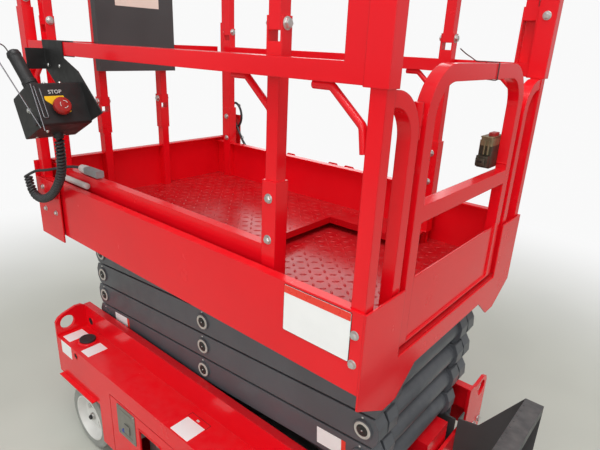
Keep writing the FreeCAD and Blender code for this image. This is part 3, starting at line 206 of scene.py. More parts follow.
BRASS = finish_of("latch_brass", (0.25, 0.21, 0.12), 0.42, metal=0.7, spread=0.25, patch=60.0,
                  grain=500.0, bump=0.15)
# Painted shade: a near-black finish for films that stand for the shade inside gaps, holes and slots
PAINTED_SHADE = finish_of("painted_shade", (0.008, 0.004, 0.004), 0.8, spread=0.2, patch=30.0, grain=300.0, bump=0.1)
STEEL = finish_of("brushed_plate", (0.30, 0.30, 0.27), 0.33, metal=0.85, spread=0.12, patch=30.0,
                  grain=700.0, bump=0.10)
WIRE_STEEL = finish_of("guard_steel", (0.20, 0.20, 0.21), 0.26, metal=0.85, spread=0.1, patch=30.0,
                       grain=600.0, bump=0.04)
PAPER = finish_of("label_paper", (0.90, 0.78, 0.68), 0.45, spread=0.03, patch=20.0, grain=300.0, bump=0.02)
BORDER = finish_of("label_border", (0.03, 0.012, 0.012), 0.4, spread=0.05, patch=20.0, grain=300.0, bump=0.02)
BLUE = finish_of("blue_plastic", (0.03, 0.06, 0.30), 0.4, spread=0.06, patch=30.0, grain=500.0, bump=0.05)
PINK = finish_of("pink_plastic", (0.60, 0.16, 0.20), 0.4, spread=0.06, patch=30.0, grain=500.0, bump=0.05)

BY_SLOT = {
    "red_paint": RED, "arm_paint": ARM, "charcoal_paint": CHARCOAL, "black_plastic": BLACK, "tyre": TYRE,
    "cream_paint": CREAM, "zinc": ZINC, "chrome": CHROME, "deck_paint": DECK, "battery_case": CASE,
    "black_rubber": RUBBER, "red_plastic": STOP_RED, "grey_plastic": GREY,
}
SLOT_OF = {part["node"]: part["material_slot"] for part in frame["record"]["subparts"]}
for node, item in NODES.items():
    chosen = BY_SLOT.get(SLOT_OF.get(node), RED)
    if node in ("control_box", "control_bracket"):
        chosen = BOX
    item.data.materials.clear()
    item.data.materials.append(chosen)


# Shapes

def facing(point, normal, up=UP):
    """A frame at a point, with its Z along the normal and its Y as near to up as it can be."""
    z = Vector(normal).normalized()
    x = Vector(up).cross(z).normalized()
    y = z.cross(x)
    made = Matrix((x, y, z)).transposed().to_4x4()
    made.translation = Vector(point)
    return made


def ring_stack(rings, frame_of, closed=True):
    """Vertices and faces of rings of equal length, joined in order and capped at both ends."""
    count = len(rings[0])
    spots = [frame_of @ Vector(p) for ring in rings for p in ring]
    faces = []
    for level in range(len(rings) - 1):
        for k in range(count):
            a = level * count + k
            b = level * count + (k + 1) % count
            faces.append((a, b, b + count, a + count))
    if closed:
        faces.append(tuple(reversed(range(count))))
        last = (len(rings) - 1) * count
        faces.append(tuple(range(last, last + count)))
    return spots, faces


def lathe(profile, frame_of, count, closed=True):
    """A turned shape. The profile's points are radius and height."""
    rings = []
    for radius, height in profile:
        ring = []
        for k in range(count):
            angle = math.tau * k / count
            ring.append((radius * math.cos(angle), radius * math.sin(angle), height))
        rings.append(ring)
    return ring_stack(rings, frame_of, closed)


CORNER_STEPS = 4


def rounded(width, height, radius):
    """A rounded rectangle's outline about its centre."""
    outline = []
    for cx, cy, start in ((1, 1, 0), (-1, 1, 90), (-1, -1, 180), (1, -1, 270)):
        for k in range(CORNER_STEPS + 1):
            angle = math.radians(start + 90 * k / CORNER_STEPS)
            outline.append((cx * (width / 2 - radius) + radius * math.cos(angle),
                            cy * (height / 2 - radius) + radius * math.sin(angle)))
    return outline


def inset(outline, amount):
    """The outline with each point moved towards its centre."""
    cx = sum(p[0] for p in outline) / len(outline)
    cy = sum(p[1] for p in outline) / len(outline)
    made = []
    for x, y in outline:
        far = max(math.hypot(x - cx, y - cy), 1e-6)
        made.append((x - (x - cx) / far * amount, y - (y - cy) / far * amount))
    return made


def prism(outline, depth, frame_of, chamfer=0.0):
    """An outline raised by depth, with a small chamfer round its top."""
    rings = [[(x, y, 0) for x, y in outline]]
    if chamfer:
        rings.append([(x, y, depth - chamfer) for x, y in outline])
        outline = inset(outline, chamfer)
    rings.append([(x, y, depth) for x, y in outline])
    return ring_stack(rings, frame_of)


def slab(width, height, depth, frame_of, radius, chamfer=0.0):
    """A plate with rounded corners, raised by depth."""
    return prism(rounded(width, height, radius), depth, frame_of, chamfer)


def ring_point(centre, side, across, angle, radius):
    """A point on a circle that two unit vectors span."""
    return centre + (side * math.cos(angle) + across * math.sin(angle)) * radius


def tube(points, radius, count):
    """A round tube along close points, with its section carried without twist."""
    points = [Vector(p) for p in points]
    ahead = (points[1] - points[0]).normalized()
    side = ahead.orthogonal().normalized()
    rings = []
    for k, p in enumerate(points):
        now = (points[min(k + 1, len(points) - 1)] - points[max(k - 1, 0)]).normalized()
        side = (side - now * side.dot(now)).normalized()
        across = now.cross(side)
        rings.append([ring_point(p, side, across, math.tau * j / count, radius) for j in range(count)])
    return ring_stack(rings, Matrix.Identity(4))


WASHER = 0.0013


def hex_bolt(point, normal, size, tall=0.0045):
    """A hexagon head with its chamfered crown and a washer under it. Size is about half its width."""
    at = facing(point, normal)
    top = WASHER + tall
    washer = lathe([(size * 1.42, 0), (size * 1.42, 0.0009), (size * 1.34, WASHER)], at, 20)
    crown = lathe([(size * 1.12, WASHER), (size * 1.12, WASHER + tall * 0.78), (size * 0.90, top)], at, 6)
    mark = lathe([(size * 0.62, top), (size * 0.55, top + 0.0004)], at, 12)
    return [washer, crown, mark]


def dome(point, normal, radius, tall):
    """A low button head with a rounded edge."""
    rings = [(radius, 0)]
    for k in range(1, 5):
        angle = math.radians(90 * k / 5)
        rings.append((radius * math.cos(angle), tall * math.sin(angle)))
    rings.append((radius * 0.12, tall))
    return [lathe(rings, facing(point, normal), 16)]


def piece(name, parts, material, body, sharp=35.0):
    """One object from lists of vertices and faces, smooth but for its sharp edges, riding on a body."""
    work = bmesh.new()
    for spots, faces in parts:
        made = [work.verts.new(p) for p in spots]
        for face in faces:
            work.faces.new([made[k] for k in face])
    bmesh.ops.recalc_face_normals(work, faces=work.faces)
    for edge in work.edges:
        if len(edge.link_faces) == 2 and edge.calc_face_angle(0.0) > math.radians(sharp):
            edge.smooth = False
    for face in work.faces:
        face.smooth = True
    mesh = bpy.data.meshes.new(name)
    work.to_mesh(mesh)
    work.free()
    mesh.materials.append(material)
    item = bpy.data.objects.new(name, mesh)
    scene.collection.objects.link(item)
    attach(item, body)
    return item


def weld(parts, start, end, radius):
    """Adds a run of small overlapping beads along a seam."""
    start = Vector(start)
    end = Vector(end)
    count = max(3, int((end - start).length / (radius * 1.5)))
    ahead = (end - start).normalized()
    side = ahead.orthogonal().normalized()
    across = ahead.cross(side)
    loops = []
    for k in range(count * 2 + 1):
        swell = radius * (1.0 if k % 2 else 0.86)
        middle = start.lerp(end, k / (count * 2))
        loops.append([ring_point(middle, side, across, math.tau * j / 6, swell) for j in range(6)])
    parts.append(ring_stack(loops, Matrix.Identity(4)))


# Cords: their routes' control points, the coil's wire radius and winding radius, and its pitch

COIL = [(0.287, 0.434, 1.1402), (0.287, 0.434, 1.110), (0.297, 0.430, 1.076), (0.318, 0.425, 1.041),
        (0.357, 0.420, 1.001), (0.412, 0.415, 0.960), (0.484, 0.412, 0.928), (0.540, 0.410, 0.924),
        (0.566, 0.410, 0.941), (0.576, 0.4095, 0.961), (0.581, 0.409, 0.980)]
LEAD = [(0.583, 0.4089, 0.984), (0.562, 0.4025, 0.996), (0.538, 0.393, 1.003), (0.515, 0.383, 1.006),
        (0.492, 0.369, 1.012), (0.468, 0.352, 1.019), (0.440, 0.337, 1.0245), (0.4104, 0.328, 1.0252)]
FAR = [(0.5182, -0.3715, 1.066), (0.500, -0.371, 1.068), (0.483, -0.371, 1.082), (0.475, -0.371, 1.106),
       (0.478, -0.371, 1.132), (0.492, -0.371, 1.154), (0.512, -0.372, 1.164), (0.529, -0.372, 1.152),
       (0.531, -0.371, 1.129), (0.519, -0.367, 1.108), (0.503, -0.362, 1.088), (0.487, -0.361, 1.066),
       (0.470, -0.358, 1.044), (0.449, -0.353, 1.021), (0.423, -0.3496, 1.000), (0.396, -0.3496, 0.979),
       (0.372, -0.3496, 0.954), (0.353, -0.3496, 0.926), (0.342, -0.3496, 0.896), (0.338, -0.3496, 0.866),
       (0.337, -0.3496, 0.8394)]
WIRE = 0.0041
WIND = 0.0088
PITCH = 0.0086
SLACK_PITCH = 0.0030
COIL_STEP = 0.0004
LEAD_STEP = 0.0015
BEND_SPAN = 12
SWELL_RUN = 0.006
SETTLE_RUN = 0.045
FAR_RADIUS = 0.0045


def nurbs(name, points, radius, resolution=12):
    """A round cord along a NURBS spline."""
    curve = bpy.data.curves.new(name, "CURVE")
    curve.dimensions = "3D"
    spline = curve.splines.new("NURBS")
    spline.points.add(len(points) - 1)
    for knot, p in zip(spline.points, points):
        knot.co = (*p, 1.0)
    spline.order_u = 3
    spline.use_endpoint_u = True
    spline.resolution_u = resolution
    curve.bevel_depth = radius
    curve.bevel_resolution = 4
    curve.use_fill_caps = True
    item = bpy.data.objects.new(name, curve)
    scene.collection.objects.link(item)
    return item


def line_of(points):
    """Close points read from the route's own NURBS spline."""
    guide = nurbs("guide", points, 0.0, 40)
    mesh = bpy.data.meshes.new_from_object(guide)
    made = [v.co.copy() for v in mesh.vertices]
    bpy.data.objects.remove(guide)
    return made


def walk(points, step):
    """The same line at even steps."""
    made = [points[0].copy()]
    left = step
    for a, b in zip(points, points[1:]):
        run = (b - a).length
        while run > left:
            a = a.lerp(b, left / run)
            made.append(a.copy())
            run = (b - a).length
            left = step
        left -= run
    return made


def smooth(share):
    """An even step from 0 to 1."""
    share = min(1.0, max(0.0, share))
    return share * share * (3 - 2 * share)


def curly_path():
    """The helix along the coil's route, and the straight lead that it ends in."""
    axis = walk(line_of(COIL), COIL_STEP)
    lead = walk(line_of(LEAD), LEAD_STEP)
    count = len(axis)
    ways = [(axis[min(k + 4, count - 1)] - axis[max(k - 4, 0)]).normalized() for k in range(count)]
    side = ways[0].orthogonal().normalized()
    frames = []
    for way in ways:
        side = (side - way * side.dot(way)).normalized()
        frames.append((side.copy(), way.cross(side)))
    angles = [0.0]
    for k in range(1, count):
        turned = ways[min(k + BEND_SPAN, count - 1)] - ways[max(k - BEND_SPAN, 0)]
        bend = turned.length / (COIL_STEP * 2 * BEND_SPAN)
        slack = smooth(min(k / (0.34 * count), (count - k) / (0.16 * count)))
        pitch = max(PITCH + SLACK_PITCH * slack, PITCH / max(0.3, 1 - bend * WIND))
        angles.append(angles[-1] + math.tau * COIL_STEP / pitch)
    out = (lead[3] - lead[0]).normalized()
    last_side, last_across = frames[-1]
    goal = math.atan2(-out.dot(last_side), out.dot(last_across))
    shift = goal - angles[-1]
    made = []
    for k in range(count):
        swell = WIND * smooth(k * COIL_STEP / SWELL_RUN)
        made.append(ring_point(axis[k], *frames[k], angles[k] + shift, swell))
    gap = made[-1] - lead[0]
    for k, p in enumerate(lead[1:], 1):
        made.append(p + gap * (1 - smooth(k * LEAD_STEP / SETTLE_RUN)))
    return made


def length_of(points):
    """The length of a line of points."""
    return sum((b - a).length for a, b in zip(points, points[1:]))


CURLY = curly_path()
far_cable = nurbs("far_loop", FAR, FAR_RADIUS)
far_cable.data.materials.append(RUBBER)
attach(far_cable, "platform")
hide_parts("far_cable")
length_of(line_of(FAR))

PLUG_LONG = 0.0700
CORD_EXIT = (0.287, 0.434, 1.1412)
plug_at = facing((0.300, 0.328, 1.0252), FORWARD)
collar_line = [(0.0116, PLUG_LONG), (0.0124, 0.0720), (0.0124, 0.0840), (0.0112, 0.0880), (0.0108, 0.1010),
               (0.0088, 0.1060), (0.0050, 0.1090)]
plug_block = slab(0.0235, 0.0190, PLUG_LONG, plug_at, 0.0025, 0.0012)
plug = piece("connector_body", [plug_block], GREY, "platform")
plug_collar = piece("connector_collar", [lathe(collar_line, plug_at, 28)], CREAM, "platform")
ribs = []
for k in range(-2, 3):
    at = plug_at @ Matrix.Translation((0.0040 * k, 0.0092, 0.046))
    ribs.append(slab(0.0014, 0.0012, 0.0180, at, 0.0004, 0.0003))
plug_ribs = piece("connector_ribs", ribs, GREY, "platform")
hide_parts("connector")
winding = tube(CURLY[::3] + CURLY[-1:], WIRE, 10)
curly = piece("curly_cable", [winding], RUBBER, "platform", 80.0)
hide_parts("curly_cord", "connector_lead")
boot = []
for k in range(6):
    z = 0.0035 * k
    fold = [(0.0118, z), (0.0123, z + 0.0006), (0.0123, z + 0.0020), (0.0118, z + 0.0026)]
    boot.append(lathe(fold, facing(CORD_EXIT, UP, LEFT), 24))
piece("cord_boot", boot, RUBBER, "platform")


# Tread of the decks

def lozenges(spans, top):
    """Raised lozenges on rectangles of x0, x1, y0, y1, turned this way and that by turns."""
    made = []
    pitch, long, wide, tall = 0.0265, 0.0105, 0.0034, 0.0012
    for x0, x1, y0, y1 in spans:
        nx = int((x1 - x0) / pitch)
        ny = int((y1 - y0) / pitch)
        for i in range(nx):
            for j in range(ny):
                cx = x0 + (x1 - x0) * (i + 0.5) / nx
                cy = y0 + (y1 - y0) * (j + 0.5) / ny
                angle = math.radians(45 if (i + j) % 2 else -45)
                c, s = math.cos(angle), math.sin(angle)
                low = [(long, 0), (long * 0.45, wide), (-long * 0.45, wide),
                       (-long, 0), (-long * 0.45, -wide), (long * 0.45, -wide)]
                rings = [[(x, y, -0.0002) for x, y in low], [(x * 0.78, y * 0.62, tall) for x, y in low]]
                at = Matrix(((c, -s, 0, cx), (s, c, 0, cy), (0, 0, 1, top), (0, 0, 0, 1)))
                made.append(ring_stack(rings, at))
    return made


DECK_SPANS = [(-0.098, 0.565, -0.330, 0.330)]
FLOOR_SPANS = [(-0.610, -0.110, -0.200, 0.200), (-0.610, -0.385, 0.205, 0.370),
               (-0.610, -0.385, -0.370, -0.205)]
piece("deck_tread", lozenges(DECK_SPANS, DECK_TOP), DECK, "deck", 60.0)
piece("floor_tread", lozenges(FLOOR_SPANS, FLOOR_TOP), DECK, "platform", 60.0)


# Signs and labels, left blank

SIGN_AT = facing((-0.517, SIDE_FACE, 0.927), LEFT)
SIGN_HEAD = SIGN_AT @ Matrix.Translation((0, 0.0392, 0.0013))
piece("sign_border", [slab(0.152, 0.096, 0.0010, SIGN_AT, 0.0025, 0.0003)], BORDER, "platform")
piece("sign_plate", [slab(0.1500, 0.0940, 0.0014, SIGN_AT, 0.0020, 0.0003)], WHITE, "platform")
piece("sign_header", [slab(0.1496, 0.0152, 0.0005, SIGN_HEAD, 0.0010)], LABEL_RED, "platform")


def label(name, point, normal, width, height, body, turn_by=0.0, up=UP, material=WHITE):
    """A thin blank film on a face."""
    at = facing(point, normal, up) @ Matrix.Rotation(math.radians(turn_by), 4, "Z")
    piece(name, [slab(width, height, 0.0006, at, 0.0012, 0.0002)], material, body)


ARM_SLOPE = 4.0
label("flat_label_front", (0.571, 0.333, FLAT_TOP), UP, 0.069, 0.049, "chassis", up=FORWARD)
label("flat_label_back", (0.444, 0.333, FLAT_TOP), UP, 0.069, 0.049, "chassis", up=FORWARD)
label("wall_label_front", (0.548, SIDE_FACE, 0.365), LEFT, 0.070, 0.048, "chassis")
label("flat_label_square", (-0.077, 0.3455, FLAT_TOP), UP, 0.060, 0.074, "chassis", up=FORWARD)
for name, x, z, width, height, film in (
        ("arm_label_front", 0.420, 0.4735, 0.074, 0.043, WHITE),
        ("arm_label_front_edge", 0.377, 0.4765, 0.012, 0.043, LABEL_RED),
        ("arm_label_rear", -0.470, 0.5300, 0.070, 0.044, WHITE),
        ("arm_label_rear_edge", -0.511, 0.5330, 0.012, 0.044, LABEL_RED)):
    label(name, (x, ARM_FACE, z), LEFT, width, height, "outer_1", ARM_SLOPE, material=film)


def probe(node, start, way):
    """Where a straight line first meets a CAD node."""
    hit, spot = NODES[node].ray_cast(Vector(start), Vector(way).normalized())[:2]
    return spot if hit else Vector(start)


# Pins of the scissor stack. The lowest level's end pins have no rings

BACK_X, MID_X, FORE_X = -0.556, -0.020, 0.516
STACK_BASE = 0.460
LEVEL_RISE = 0.078
PIN_END, RINGED_PIN_END = 0.2420, 0.2436
RIM_LINE = [(0.0142, 0.0040), (0.0147, 0.0051), (0.0198, 0.0053), (0.0207, 0.0044), (0.0211, 0.0001)]
CORE_LINE = [(0.0145, 0.0041), (0.0142, 0.0046), (0.0130, 0.0051), (0.0090, 0.0053), (0.0084, 0.0046),
             (0.0020, 0.0044)]
NUT_LINE = [(0.0066, 0.0044), (0.0066, 0.0052), (0.0056, 0.0058)]
for level in range(1, 5):
    spots = [(BACK_X, STACK_BASE + level * LEVEL_RISE), (MID_X, STACK_BASE + (level - 0.5) * LEVEL_RISE),
             (FORE_X, STACK_BASE + (level - 1) * LEVEL_RISE)]
    rims = []
    cores = []
    nips = []
    for x, z in spots:
        ringed = level > 1 or x == MID_X
        for side in (1, -1):
            outward = (0, side, 0)
            if ringed:
                at = facing((x, side * ARM_FACE, z), outward)
                rims.append(lathe(RIM_LINE, at, 36))
                cores.append(lathe(CORE_LINE, at, 28))
                cores.append(lathe(NUT_LINE, at, 6))
            nips += dome((x, side * (RINGED_PIN_END if ringed else PIN_END), z), outward, 0.0022, 0.0016)
            nips += dome((x + 0.004, side * ARM_FACE, z + 0.029), outward, 0.0030, 0.0022)
    body = "outer_%d" % level
    piece("pin_rims_%d" % level, rims, RING, body)
    piece("pin_cores_%d" % level, cores, PIN_DARK, body)
    piece("pin_nipples_%d" % level, nips, ZINC, body)


# Bolts of the posts, the guards and the rear

POST_HALF = 0.0165
HINGE_HEIGHT = 1.421
heads = {"platform": [], "deck": [], "chassis": []}
for side in (1, -1):
    for z in (0.935, 0.878):
        heads["platform"] += hex_bolt((-0.601, side * SIDE_FACE, z), (0, side, 0), 0.0062)
    for x, z in ((0.534, 0.953), (0.532, 0.885), (0.465, 0.886)):
        heads["deck"] += hex_bolt((x, side * 0.389, z), (0, side, 0), 0.0055)
    for x in (-0.366, 0.502):
        for z in (1.031, 1.114):
            for way in (1, -1):
                y = side * (INNER_POST + way * POST_HALF)
                heads["deck"] += hex_bolt((x, y, z), (0, side * way, 0), 0.0068)
    for x, way in ((-0.385, -1), (-0.349, 1), (0.484, -1), (0.520, 1)):
        heads["deck"] += hex_bolt((x, side * INNER_POST, HINGE_HEIGHT), (way, 0, 0), 0.0078, 0.006)
    for x, way in ((0.540, -1), (0.568, 1)):
        heads["platform"] += hex_bolt((x, side * OUTER_POST, 1.476), (way, 0, 0), 0.0072, 0.0055)
    heads["platform"] += hex_bolt((-0.597, side * 0.349, 1.478), (0, -side, 0), 0.0072, 0.0055)
for y, way in ((0.176, 1), (0.142, -1), (-0.048, 1), (-0.082, -1)):
    heads["deck"] += hex_bolt((0.560, y, 1.190), (0, way, 0), 0.0072, 0.0055)
for y in (-0.365, -0.330, 0.365, 0.330):
    heads["chassis"] += hex_bolt((-0.620, y, 0.300), BACKWARD, 0.0075, 0.006)
for z in (1.052, 1.105, 1.152):
    heads["platform"] += hex_bolt((0.500, -0.381, z), (0, -1, 0), 0.0042, 0.003)
for x in (0.352, 0.416):
    for z in (1.190, 1.310):
        heads["platform"] += dome((x, 0.3815, z), LEFT, 0.0045, 0.0024)
for body, parts in heads.items():
    piece("bolts_" + body, parts, ZINC, body)


# Control box. Its own frame has its corner, and millimetres along its depth, its width and its height

LX = Vector((0.90631, 0, -0.42262))
LY = Vector((0, 1, 0))
LZ = Vector((0.42262, 0, 0.90631))
CORNER = Vector((0.210, 0.381, 1.187))
BUTTON = (68, 40)
GROOVES = 28
GRIP_RADIUS = 0.0198


def local(x, y, z):
    """A place in the box's own frame."""
    return CORNER + LX * (x / 1000) + LY * (y / 1000) + LZ * (z / 1000)


front = facing(local(0, 61, 51), -LX, LZ)


def on_face(y, z, lift):
    """A frame on the box's face, lifted from it."""
    made = front.copy()
    made.translation = local(-lift, y, z)
    return made


def arc(radius, degrees):
    """Points on a circle about the origin."""
    return [(radius * math.cos(math.radians(a)), radius * math.sin(math.radians(a))) for a in degrees]


plate_corners = ((97, 69), (97, 60), (93, 56), (64, 33), (58, 28), (45, 28), (43.5, 31), (46, 44), (52, 69))
plate_outline = [((61 - y) / 1000, (z - 51) / 1000) for y, z in plate_corners]
piece("box_plate", [prism(plate_outline, 0.0008, front, 0.0002)], YELLOW, "platform")
letters = bpy.data.curves.new("stop_word", "FONT")
letters.body = "STOP"
letters.size = 0.0128
letters.align_x = "CENTER"
letters.align_y = "CENTER"
letters.extrude = 0.0003
letters.space_character = 1.05
word = bpy.data.objects.new("stop_word", letters)
scene.collection.objects.link(word)
word.matrix_world = on_face(69, 78.5, 0.4)
letters.materials.append(PALE)
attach(word, "platform")
collar_ring = [(0.0142, 0.0), (0.0158, 0.0006), (0.0158, 0.0026), (0.0142, 0.0034)]
piece("button_collar", [lathe(collar_ring, on_face(*BUTTON, 0.2), 32)], BOX, "platform")
grooves = []
for k in range(GROOVES):
    angle = math.tau * k / GROOVES
    place = Matrix.Translation((GRIP_RADIUS * math.cos(angle), GRIP_RADIUS * math.sin(angle), -0.0105))
    grooves.append(lathe([(0.0009, 0), (0.0009, 0.0085), (0.0004, 0.009)], on_face(*BUTTON, 19.2) @ place, 6))
piece("button_grip", grooves, STOP_RED, "platform")
marks = []
for turn_by in (20, 140, 260):
    at = on_face(*BUTTON, 26.0) @ Matrix.Rotation(math.radians(turn_by), 4, "Z")
    marks.append(prism(arc(0.0095, range(0, 71, 10)) + arc(0.0083, range(70, -1, -10)), 0.0003, at))
piece("button_marks", marks, PALE, "platform")
screws = hex_bolt(local(41, 122, 50), LY, 0.0048, 0.0035)
for place, normal, radius, tall in (
        ((10, 83, 102), LZ, 0.0042, 0.0050),
        ((10, 46, 102), LZ, 0.0042, 0.0055),
        ((98, 60, 102), LZ, 0.0038, 0.0022),
        ((-1.5, 114, -12.5), -LZ, 0.0034, 0.0050),
        ((98, 34, 0), -LZ, 0.0038, 0.0022),
        ((98, 100, 0), -LZ, 0.0038, 0.0022)):
    screws += dome(local(*place), normal, radius, tall)
piece("box_screws", screws, ZINC, "platform")


def bent(points, radius, bend):
    """A bent wire: straight runs with a rounded corner between them, in the box's own frame."""
    line = [Vector(points[0])]
    for a, b, c in zip(points, points[1:], points[2:]):
        a, b, c = Vector(a), Vector(b), Vector(c)
        start = b + (a - b).normalized() * bend
        end = b + (c - b).normalized() * bend
        for k in range(7):
            u = k / 6
            line.append(start * (1 - u) ** 2 + b * 2 * u * (1 - u) + end * u ** 2)
    line.append(Vector(points[-1]))
    return tube([local(*p) for p in line], radius, 10)


wires = [bent([(-1.4, 113, 94), (-1.4, 111, 18), (-1.4, 101, 18), (-1.4, 102, 88)], 0.0014, 4.5),
         bent([(-1.4, 119, -12), (-1.4, 119, 50), (-1.4, 119, 99)], 0.0015, 5.0),
         bent([(3, 124.2, -4), (5, 183, 210), (62, 120, 214), (95, 92, 102.2)], 0.0015, 18.0)]
guards = piece("guard_wires", wires, WIRE_STEEL, "platform")
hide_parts("control_guards")
slot_at = facing(local(66, 58, 0), -LZ, LX) @ Matrix.Rotation(math.radians(28), 4, "Z")
socket = lathe([(0.0105, 0), (0.0105, 0.0060), (0.0085, 0.0080), (0.0040, 0.0080)],
               facing(local(17, 122, 16), LY, LZ), 20)
piece("box_dark", [slab(0.044, 0.0055, 0.0004, slot_at, 0.0025), socket], BLACK, "platform")
boot_at = facing(local(26, 106, 102), LZ, LX)
folds = []
for k in range(5):
    swell = 0.0168 - 0.0021 * k
    z = 0.0001 + 0.0042 * k
    folds.append(lathe([(swell, z), (swell + 0.0012, z + 0.0018), (swell - 0.0004, z + 0.0042)], boot_at, 28))
piece("lever_boot", folds, RUBBER, "platform")


# Gate latch, tie and hinge

def block(low, high, radius=0.0015, chamfer=0.0008):
    """An upright block between two corners."""
    low, high = Vector(low), Vector(high)
    middle = (low + high) / 2
    size = high - low
    return slab(size.x, size.y, size.z, Matrix.Translation((middle.x, middle.y, low.z)), radius, chamfer)


GATE_HINGE = (-0.5995, 0.250)
cover = [block((-0.587, -0.228, 1.186), (-0.560, -0.159, 1.2065)),
         block((-0.587, -0.2285, 1.2045), (-0.5585, -0.1575, 1.2075), 0.002, 0.0008)]
for y in (-0.217, -0.204, -0.191, -0.178, -0.166):
    cover.append(block((-0.561, y - 0.0020, 1.160), (-0.5562, y + 0.0020, 1.198), 0.0008, 0.0004))
for x in (-0.580, -0.571):
    cover.append(block((x - 0.0018, -0.166, 1.166), (x + 0.0018, -0.1560, 1.198), 0.0008, 0.0004))
gate_cover = piece("latch_cover", cover, BRASS, "gate")
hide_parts("gate_latch")
knob = lathe([(0.0085, 0), (0.0085, 0.0030), (0.0060, 0.0045)], facing((-0.557, -0.198, 1.151), FORWARD), 20)
piece("latch_body", [block((-0.587, -0.228, 1.134), (-0.557, -0.162, 1.187)),
                     block((-0.586, -0.166, 1.139), (-0.559, -0.146, 1.164)),
                     block((-0.583, -0.148, 1.144), (-0.562, -0.136, 1.160)), knob], OLIVE, "gate")
# Painted shade: thin dark blocks stand for the shade inside two slots of the latch
piece("latch_slot_shade", [block((-0.5575, -0.2205, 1.1475), (-0.5562, -0.2105, 1.1560), 0.001, 0.0003),
                      block((-0.5780, -0.1365, 1.1500), (-0.5670, -0.1352, 1.1540), 0.001, 0.0003)],
      PAINTED_SHADE, "gate")
tab = block((-0.5835, -0.2080, 1.2070), (-0.5690, -0.1760, 1.2150), 0.002, 0.0010)
piece("latch_tab", [tab], STOP_RED, "gate")
TIE = [(-0.6135, -0.045, 1.339), (-0.6135, -0.0448, 1.372), (-0.6060, -0.0440, 1.3722),
       (-0.5880, -0.0440, 1.3722), (-0.5856, -0.0445, 1.3690), (-0.5856, -0.0455, 1.3400),
       (-0.5890, -0.0458, 1.3384), (-0.6100, -0.0455, 1.3376), (-0.6135, -0.0450, 1.3390)]
TIE_TAIL = [(-0.5870, -0.040, 1.3728), (-0.589, -0.010, 1.3724), (-0.593, 0.024, 1.3728),
            (-0.596, 0.058, 1.380), (-0.599, 0.090, 1.3850), (-0.600, 0.120, 1.3935)]
piece("gate_tie", [tube(TIE, 0.0011, 6)], RUBBER, "gate")
tail = nurbs("gate_tie_tail", TIE_TAIL, 0.0010)
tail.data.materials.append(RUBBER)
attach(tail, "gate")
sleeves = []
for z in (0.930, 1.190, 1.300):
    sleeves.append(lathe([(0.0058, 0), (0.0064, 0.001), (0.0064, 0.009), (0.0058, 0.010)],
                         facing((*GATE_HINGE, z), UP, LEFT), 20))
piece("gate_hinge_washers", sleeves, ZINC, "platform")


# Conduit on the left toe board, and the cables' ends at the far corner

RIB_PITCH = 0.0040
RIB_LINE = [(0.0072, 0), (0.0086, 0.0008), (0.0086, 0.0022), (0.0072, 0.0030), (0.0072, RIB_PITCH)]
ribs = []
for k in range(34):
    ribs.append(lathe(RIB_LINE, facing((0.336 + RIB_PITCH * k, 0.3495, 0.9880), FORWARD), 14))
piece("conduit", ribs, PALE, "deck")
glands = []
for x, z in ((0.527, 1.066), (0.519, 1.028)):
    at = facing((x, -0.3660, z), LEFT)
    glands.append(lathe([(0.0105, -0.003), (0.0105, 0.003), (0.0090, 0.004)], at, 6))
piece("far_glands", glands, BLACK, "platform")
KNOT = [(0.462, -0.3545, 1.0385), (0.4612, -0.3510, 1.0330), (0.4560, -0.3515, 1.0275),
        (0.4520, -0.3570, 1.0290), (0.4540, -0.3620, 1.0350), (0.4600, -0.3600, 1.0390),
        (0.462, -0.3545, 1.0385)]
piece("far_tie", [tube(KNOT, 0.0010, 6)], RUBBER, "platform")


# Wheels

LUGS = 36
LUG_RADIUS = 0.1144
LUG_SHIFT = 0.020
LUG_SLANT = 12
BOLTS = 5
BOLT_CIRCLE = 0.046
BOLT_TURN = 0.3
CAP_LINE = [(0.0135, 0), (0.0135, 0.005), (0.0120, 0.008), (0.0070, 0.0090)]
PLUG_LINE = [(0.0075, 0.0085), (0.0080, 0.0100), (0.0080, 0.0145), (0.0060, 0.0160)]
HUB_RIM_LINE = [(0.0836, 0.0), (0.0836, 0.0012), (0.0800, 0.0020), (0.0780, 0.0008), (0.0775, -0.004)]


